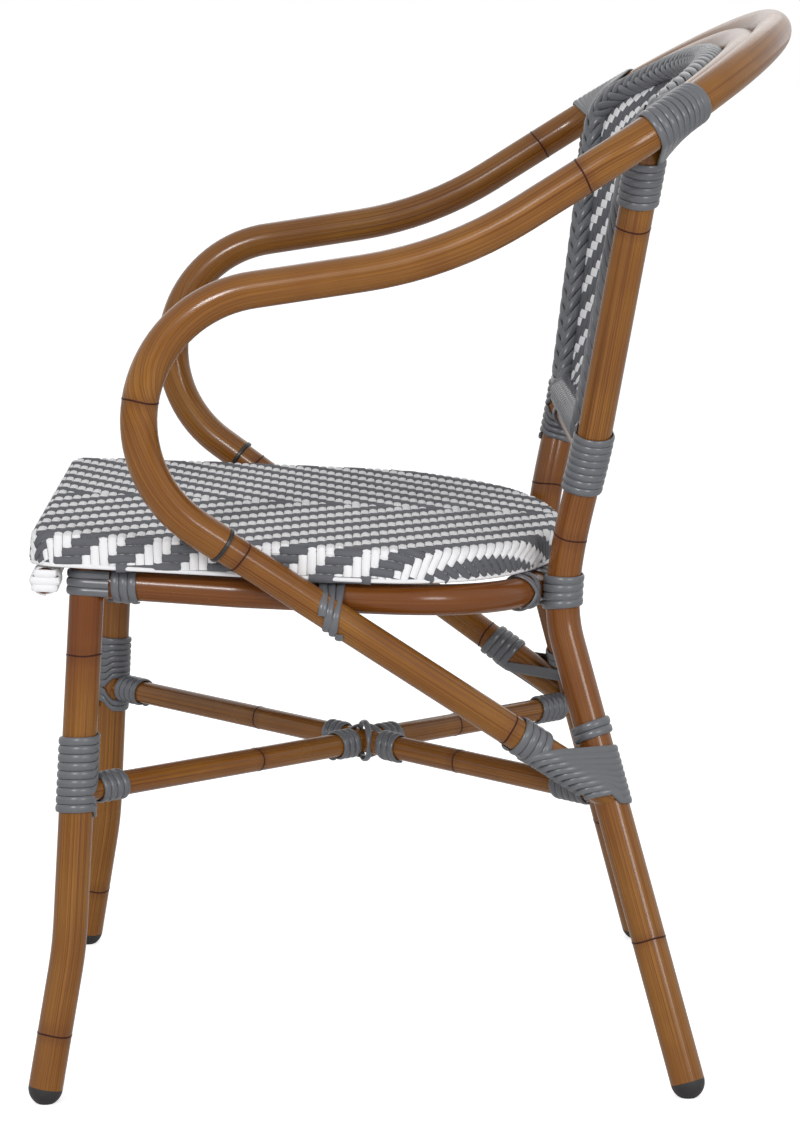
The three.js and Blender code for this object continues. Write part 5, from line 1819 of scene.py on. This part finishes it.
@dataclass
class WovenSeat(Dresser):
    """The seat's weave, folded down over the edge of its frame, with a cord round the bottom.

    Attributes:
        white: Finish of the strands across.
        grey: Finish of the strands front to back.
        twill: The weave.
        fold: Radius of the fold at the edge.
        cord: Radius of the cord along the lower edge.
        cord_smooth: Edges of the cord that turn less than this many degrees are shaded smooth.
        batch: How many places are compared with the edge at once.
    """

    white: Material
    grey: Material
    twill: Twill = field(default_factory=Twill)
    fold: float = 5.0
    cord: float = 1.9
    cord_smooth: float = 60.0
    batch: int = 4000

    def outline(self, inset: float = 0.0) -> Array:
        """The seat's outline on its plane, once round against the clock from the front middle.

        Args:
            inset: How far inside the edge it lies.

        Returns:
            Points (x, y), the last the same as the first.
        """
        sizes = self.lines.sizes
        rear_start = sizes.seat_depth - sizes.seat_rear_depth
        front, half = sizes.seat_front_half - inset, sizes.seat_half - inset
        corner = max(sizes.seat_corner_radius - inset, sizes.seat_corner_radius / 4)
        t = np.linspace(0, 1, 30)[:, None]
        start = np.array([front, inset + corner])
        bow = (1 - t) ** 2 * start + 2 * (1 - t) * t * np.array([half, rear_start / 2]) + t**2 * np.array(
            [half, rear_start]
        )
        angles = np.linspace(0, math.pi / 2, 50)[1:]
        rear = np.column_stack([
            half * np.clip(np.cos(angles), 0, 1) ** (2 / sizes.seat_power),
            rear_start + (sizes.seat_rear_depth - inset) * np.sin(angles) ** (2 / sizes.seat_power),
        ])
        corners = bent([(vec(0, inset, 0), 0.0), (vec(front, inset, 0), corner), (vec(*bow[1], 0), 0.0)])
        half_points = np.concatenate([np.array(corners)[:-1, :2], bow[1:], rear])
        return np.concatenate([half_points, half_points[::-1] * np.array([-1, 1])])

    def nearest_edge(self, x: Array, y: Array) -> tuple[Array, Array, Array]:
        """How far places are outside the seat's edge, the edge points nearest to them, and their normals."""
        edge = self.outline()
        starts, spans = edge[:-1], np.diff(edge, axis=0)
        keep = np.linalg.norm(spans, axis=1) > self.lines.sizes.gap / 10
        starts, spans = starts[keep], spans[keep]
        flat = np.column_stack([x.ravel(), y.ravel()])
        lengths = np.sum(spans**2, axis=1)
        normals = unit(np.column_stack([spans[:, 1], -spans[:, 0]]))
        corners = unit(normals + np.roll(normals, 1, axis=0))
        distance, nearest, normal = [], [], []
        for part in np.array_split(flat, max(1, len(flat) // self.batch)):
            away = part[:, None] - starts[None]
            share = np.clip(np.sum(away * spans, axis=2) / lengths, 0, 1)
            spots = starts + share[..., None] * spans
            gaps = np.linalg.norm(part[:, None] - spots, axis=2)
            best = np.argmin(gaps, axis=1)
            pick_one = np.arange(len(part))
            nearest.append(spots[pick_one, best])
            at = share[pick_one, best][:, None]
            normal.append(unit(corners[best] * (1 - at) + np.roll(corners, -1, axis=0)[best] * at))
            signed = np.sum((part - nearest[-1]) * normals[best], axis=1)
            distance.append(np.where(signed >= 0, gaps[pick_one, best], -gaps[pick_one, best]))
        shape = x.shape
        return (
            np.concatenate(distance).reshape(shape),
            np.concatenate(nearest).reshape(*shape, 2),
            np.concatenate(normal).reshape(*shape, 2),
        )

    def place(self, x: Array, y: Array, lift: Array) -> Array:
        """Points of the weave: flat on the seat, then folded over its edge and down the side."""
        sizes = self.lines.sizes
        distance, edge, normal = self.nearest_edge(x, y)
        past = distance + self.fold
        angle = np.clip(past / self.fold, 0, math.pi / 2)
        down = np.maximum(past - self.fold * math.pi / 2, 0)
        inward = np.minimum(past, 0)
        reach = (self.fold + lift) * np.sin(angle) - self.fold + inward
        height = sizes.seat_thickness - self.fold + (self.fold + lift) * np.cos(angle) - down
        spot = edge + normal * reach[..., None]
        return self.lines.seat.lay(spot[..., 0], spot[..., 1], height)

    def kept(self, x: Array, y: Array) -> Array:
        """Whether places are on the seat or on its side above the cord."""
        sizes = self.lines.sizes
        reach = sizes.seat_thickness - self.fold + self.fold * math.pi / 2 - self.fold - self.cord
        return self.nearest_edge(x, y)[0] <= reach

    def build(self) -> None:
        """Makes the weave and the cord in place of the seat's solid."""
        sizes, pitch = self.lines.sizes, self.twill.pitch
        margin = 4
        reach = math.ceil(sizes.seat_half / pitch) + margin
        columns = range(-reach, reach + 1)
        rows = range(-margin, math.ceil(sizes.seat_depth / pitch) + margin + 1)
        white, grey = self.twill.cloth(columns, rows, self.place, self.kept)
        stands_for(self.maker.bundle("seat_strands_white", white), Slot.WHITE, self.white, "seat_weave")
        stands_for(self.maker.bundle("seat_strands_grey", grey), Slot.GREY, self.grey, "seat_weave")
        edge = self.outline(self.cord / 4)[:-1]
        line = Path(self.lines.seat.lay(edge[:, 0], edge[:, 1], self.cord))
        distances = line.spread(ROUGH_STEP)[:-1]
        cord = round_roll(line, distances, self.cord, 8, self.lines.seat.up)
        cord.closed = True
        stands_for(self.maker.bundle("seat_edge_cord", [cord], self.cord_smooth), Slot.WHITE, self.white)


@dataclass
class WovenBack(Dresser):
    """The back's weave and the plaited border that it hangs in.

    Attributes:
        white: Finish of the strands across.
        grey: Finish of the upright strands.
        cord: Finish of the plait.
        twill: The weave.
        tuck: How far the weave's ends reach under the plait.
        bow: How far back the weave lies at its middle.
        bow_power: How flat the bow is up and down.
        plait_half: Half width of the plait's core.
        plait_height: Half thickness of the plait's core.
        plait_forward: How far in front of its rod the plait's middle lies.
        plait_strands: Strands of the plait that turn each way.
        plait_turn: Angle round the rod by which the line where its strands meet is turned inwards.
        plait_length: Length in which a strand of the plait goes once round.
        plait_rise: How far its strands go over and under each other.
        plait_width: Width of its strands.
        plait_thickness: Their thickness.
        plait_steps: Stations in one turn of a strand.
        plait_sharpness: How abruptly a strand goes from over to under.
    """

    white: Material
    grey: Material
    cord: Material
    twill: Twill = field(default_factory=lambda: Twill(
        pitch=7.6, width=7.3, thickness=1.9, rise=0.85, dips=2, plateau_share=0.38
    ))
    tuck: float = 9.0
    bow: float = 29.0
    bow_power: int = 4
    plait_half: float = 11.0
    plait_height: float = 8.5
    plait_forward: float = 6.0
    plait_strands: int = 7
    plait_turn: float = 5 / 7 * math.pi
    plait_length: float = 98.0
    plait_rise: float = 1.5
    plait_width: float = 7.2
    plait_thickness: float = 3.2
    plait_steps: int = 36
    plait_sharpness: int = 3

    def __post_init__(self) -> None:
        """Works out the plait's outline from the hoop and the cross rail."""
        sizes = self.lines.sizes
        self.inset = sizes.leg_radius + sizes.strand_lift + sizes.braid_slack + sizes.braid_radius
        rail_s = (sizes.back_rail_height - sizes.knee_end[2]) / self.lines.back.post_up[2]
        self.low = rail_s + sizes.back_rail_radius + sizes.gap + sizes.braid_radius

    def build(self) -> None:
        """Makes the weave and the plait."""
        self.build_weave()
        self.build_plait()

    def build_weave(self) -> None:
        """Makes the two sets of strands inside the plait."""
        sizes, back = self.lines.sizes, self.lines.back
        inset = self.inset + sizes.braid_radius - self.tuck
        low = self.low + sizes.braid_radius - self.tuck
        half = back.outline(inset, low, sizes.braid_corner - sizes.braid_radius + self.tuck)
        order = np.argsort(half[:, 1])
        widths, heights = half[order, 0], half[order, 1]
        top = float(half[-1, 1])
        widest = float(half[:, 0].max())

        def kept(x: Array, s: Array) -> Array:
            reach = np.interp(s, heights, widths)
            return (np.abs(x) <= reach) & (s >= low) & (s <= top)

        def bowed(x: Array, s: Array, lift: Array) -> Array:
            edge = np.interp(s, heights, widths) - self.tuck
            reach = np.clip(x / np.maximum(edge, self.tuck), -1, 1)
            up = np.clip(2 * (s - low - self.tuck) / (top - low - 2 * self.tuck) - 1, -1, 1)
            return back.lay(x, s, lift + self.bow * (1 - up**self.bow_power) * (1 - reach**2))

        pitch = self.twill.pitch
        reach = math.ceil(widest / pitch) + 1
        columns = range(-reach, reach + 1)
        rows = range(math.floor(low / pitch), math.ceil(top / pitch) + 1)
        white, grey = self.twill.cloth(columns, rows, bowed, kept)
        stands_for(self.maker.bundle("back_strands_white", white), Slot.WHITE, self.white, "back_weave")
        stands_for(self.maker.bundle("back_strands_grey", grey), Slot.GREY, self.grey, "back_weave")

    def build_plait(self) -> None:
        """Makes the border's strands, which go round its rod both ways and over and under each other."""
        sizes, back = self.lines.sizes, self.lines.back
        flat = back.closed_outline(self.inset, self.low, sizes.braid_corner)
        ring = Path(np.column_stack([flat, np.zeros(len(flat))]))
        turns = round(ring.length / self.plait_length)
        steps = turns * self.plait_steps
        distances = np.arange(steps) / steps * ring.length
        spots = ring.at(distances)
        way = ring_way(spots)
        side = np.column_stack([way[:, 1], -way[:, 0]])
        rolls = []
        for hand in (1, -1):
            for number in range(self.plait_strands):
                angles = hand * 2 * math.pi * (distances / ring.length * turns + number / self.plait_strands)
                waves = self.plait_sharpness * np.cos(angles - self.plait_turn)
                rise = hand * self.plait_rise * np.clip(waves, -1, 1)
                rolls.append(self.plait_strand(back, spots, side, angles, rise))
        piece = self.maker.bundle("back_plait", rolls)
        stands_for(piece, Slot.GREY, self.cord, "back_braid")

    def plait_strand(
        self, back: BackSurface, spots: Array, side: Array, angles: Array, rise: Array
    ) -> Roll:
        """One strand of the plait.

        Args:
            back: The back's surface.
            spots: Places (x, s, 0) along the border.
            side: Direction outwards from the border at each.
            angles: Angle round the rod at each.
            rise: Height over the core at each.

        Returns:
            Its closed roll.
        """
        def spot(extra: float) -> Array:
            wide = (self.plait_half + rise + extra) * np.cos(angles)
            tall = (self.plait_height + rise + extra) * np.sin(angles) - self.plait_forward
            return back.lay(spots[:, 0] + side[:, 0] * wide, spots[:, 1] + side[:, 1] * wide, tall)

        centres = spot(0.0)
        outs = unit(spot(1.0) - centres)
        way = ring_way(centres)
        sides, width, height = np.cross(outs, way), self.plait_width, self.plait_thickness
        return strand_roll(centres, across(outs, way), sides, width, height, True)


@dataclass
class Studio:
    """A pale floor, soft lights and the camera.

    Attributes:
        camera_place: Place of the camera in metres, in the makers' frame.
        yaw: Its turn from looking along -X, in radians.
        pitch: How far it looks down.
        roll: Its roll.
        film: Length of the picture's long side on the film.
        lens: Focal length for that film.
        fill: Strength of the surroundings' light.
        lamps: Name, place, size and power of each soft lamp.
    """

    camera_place: tuple = (3.0837, -0.0172, 0.8803)
    yaw: float = 0.01653
    pitch: float = 0.15530
    roll: float = 0.00546
    film: float = 36.0
    lens: float = 115.22
    fill: float = 0.55
    lamps: tuple = (
        ("key_lamp", (2.7, -0.9, 1.8), 0.5, 33.0),
        ("side_lamp", (2.6, 1.6, 1.3), 0.7, 22.0),
        ("far_lamp", (-2.3, 0.3, 2.0), 1.4, 5.0),
    )

    def build(self, depth_shift: float) -> None:
        """Makes the camera, lamps, world and floor.

        Args:
            depth_shift: What turns the makers' y into the row frame's, in metres.
        """
        self.build_camera(depth_shift)
        for name, place, size, power in self.lamps:
            self.build_lamp(name, Vector(place), size, power)
        self.build_world()
        self.build_floor()
        bpy.context.scene.view_settings.view_transform = "Standard"

    def build_camera(self, depth_shift: float) -> None:
        """Stands the camera where the photograph's was."""
        pitch, yaw, roll = self.pitch, self.yaw, self.roll
        ahead = vec(-math.cos(pitch) * math.cos(yaw), math.cos(pitch) * math.sin(yaw), -math.sin(pitch))
        level = vec(math.sin(yaw), math.cos(yaw), 0)
        under = np.cross(ahead, level)
        right = math.cos(roll) * level + math.sin(roll) * under
        down = math.cos(roll) * under - math.sin(roll) * level
        place = vec(*self.camera_place) + vec(0, depth_shift, 0)
        columns = np.column_stack([right, -down, -ahead, place])
        data = bpy.data.cameras.new("camera")
        data.sensor_width = self.film
        data.lens = self.lens
        camera = bpy.data.objects.new("camera", data)
        camera.matrix_world = Matrix([*columns.tolist(), [0, 0, 0, 1]])
        bpy.context.scene.collection.objects.link(camera)
        bpy.context.scene.camera = camera

    def build_lamp(self, name: str, place: Vector, size: float, power: float) -> None:
        """Hangs one soft square lamp that faces the chair."""
        data = bpy.data.lights.new(name, "AREA")
        data.size, data.energy = size, power
        lamp = bpy.data.objects.new(name, data)
        target = Vector((0, 0, SIZES.seat_front_z * METRE))
        turn = (place - target).to_track_quat("Z", "Y").to_matrix().to_4x4()
        lamp.matrix_world = Matrix.Translation(place) @ turn
        bpy.context.scene.collection.objects.link(lamp)

    def build_world(self) -> None:
        """White surroundings where they are seen or reflected, and a dimmer fill light."""
        world = bpy.data.worlds.new("studio")
        world.use_nodes = True
        bpy.context.scene.world = world
        nodes = Nodes(world.node_tree)
        path = nodes.add("ShaderNodeLightPath").outputs
        seen = nodes.maths("MAXIMUM", path["Is Camera Ray"], path["Is Glossy Ray"])
        seen = nodes.maths("MAXIMUM", seen, path["Is Transmission Ray"])
        strength = nodes.add("ShaderNodeMix", {"data_type": "FLOAT"}, i0=seen, i2=self.fill, i3=1.0)
        light = nodes.add("ShaderNodeBackground", Color=(1, 1, 1, 1), Strength=strength.outputs[0])
        nodes.add("ShaderNodeOutputWorld", Surface=light.outputs[0])

    def build_floor(self) -> None:
        """Lays a wide pale floor that keeps the chair's shadow."""
        deselect()
        bpy.ops.mesh.primitive_plane_add(size=LOOKS.floor_size)
        floor = bpy.context.object
        floor.name = "floor"
        made = bpy.data.materials.new("pale_floor")
        made.use_nodes = True
        nodes = Nodes(made.node_tree)
        path = nodes.add("ShaderNodeLightPath").outputs
        glow = nodes.maths("MULTIPLY", path["Is Camera Ray"], LOOKS.floor_glow)
        tone = LOOKS.floor_tone
        shader = nodes.add(
            "ShaderNodeBsdfPrincipled", Base_Color=(tone, tone, tone, 1), Roughness=LOOKS.floor_rough,
            Emission_Color=(1, 1, 1, 1), Emission_Strength=glow,
        )
        nodes.add("ShaderNodeOutputMaterial", Surface=shader.outputs[0])
        floor.data.materials.append(made)


def main() -> None:
    """Builds the chair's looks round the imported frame."""
    logging.basicConfig(level=logging.INFO, format="%(message)s")
    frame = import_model()
    low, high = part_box("joint_ring_left")
    depth_shift = (low[1] + high[1]) / 2 / METRE - SIZES.joint_back
    lines = CentreLines(SIZES)
    maker = Maker(depth_shift)
    groups = {"long_grain": long_grain_group(), "handling": handling_group()}
    paint, node_paint = TUBE_PAINT.build(groups), NODE_PAINT.build(groups)
    grey, white = GREY_STRAND.build(groups), WHITE_STRAND.build(groups)
    Studio().build(depth_shift * METRE)
    TubeFrame(lines, maker, paint, node_paint).build()
    plastic, rubber, alloy = (finish.build(groups) for finish in (JOINT_PLASTIC, CAP_RUBBER, BARE_ALLOY))
    SmallParts(lines, maker, plastic, rubber, alloy).build(frame["nodes"])
    Bindings(lines, maker, grey, white).build()
    woven_grey, woven_white = WOVEN_GREY.build(groups), WOVEN_WHITE.build(groups)
    WovenSeat(lines, maker, woven_white, woven_grey).build()
    WovenBack(lines, maker, woven_white, woven_grey, grey).build()


if __name__ == "__main__":
    main()
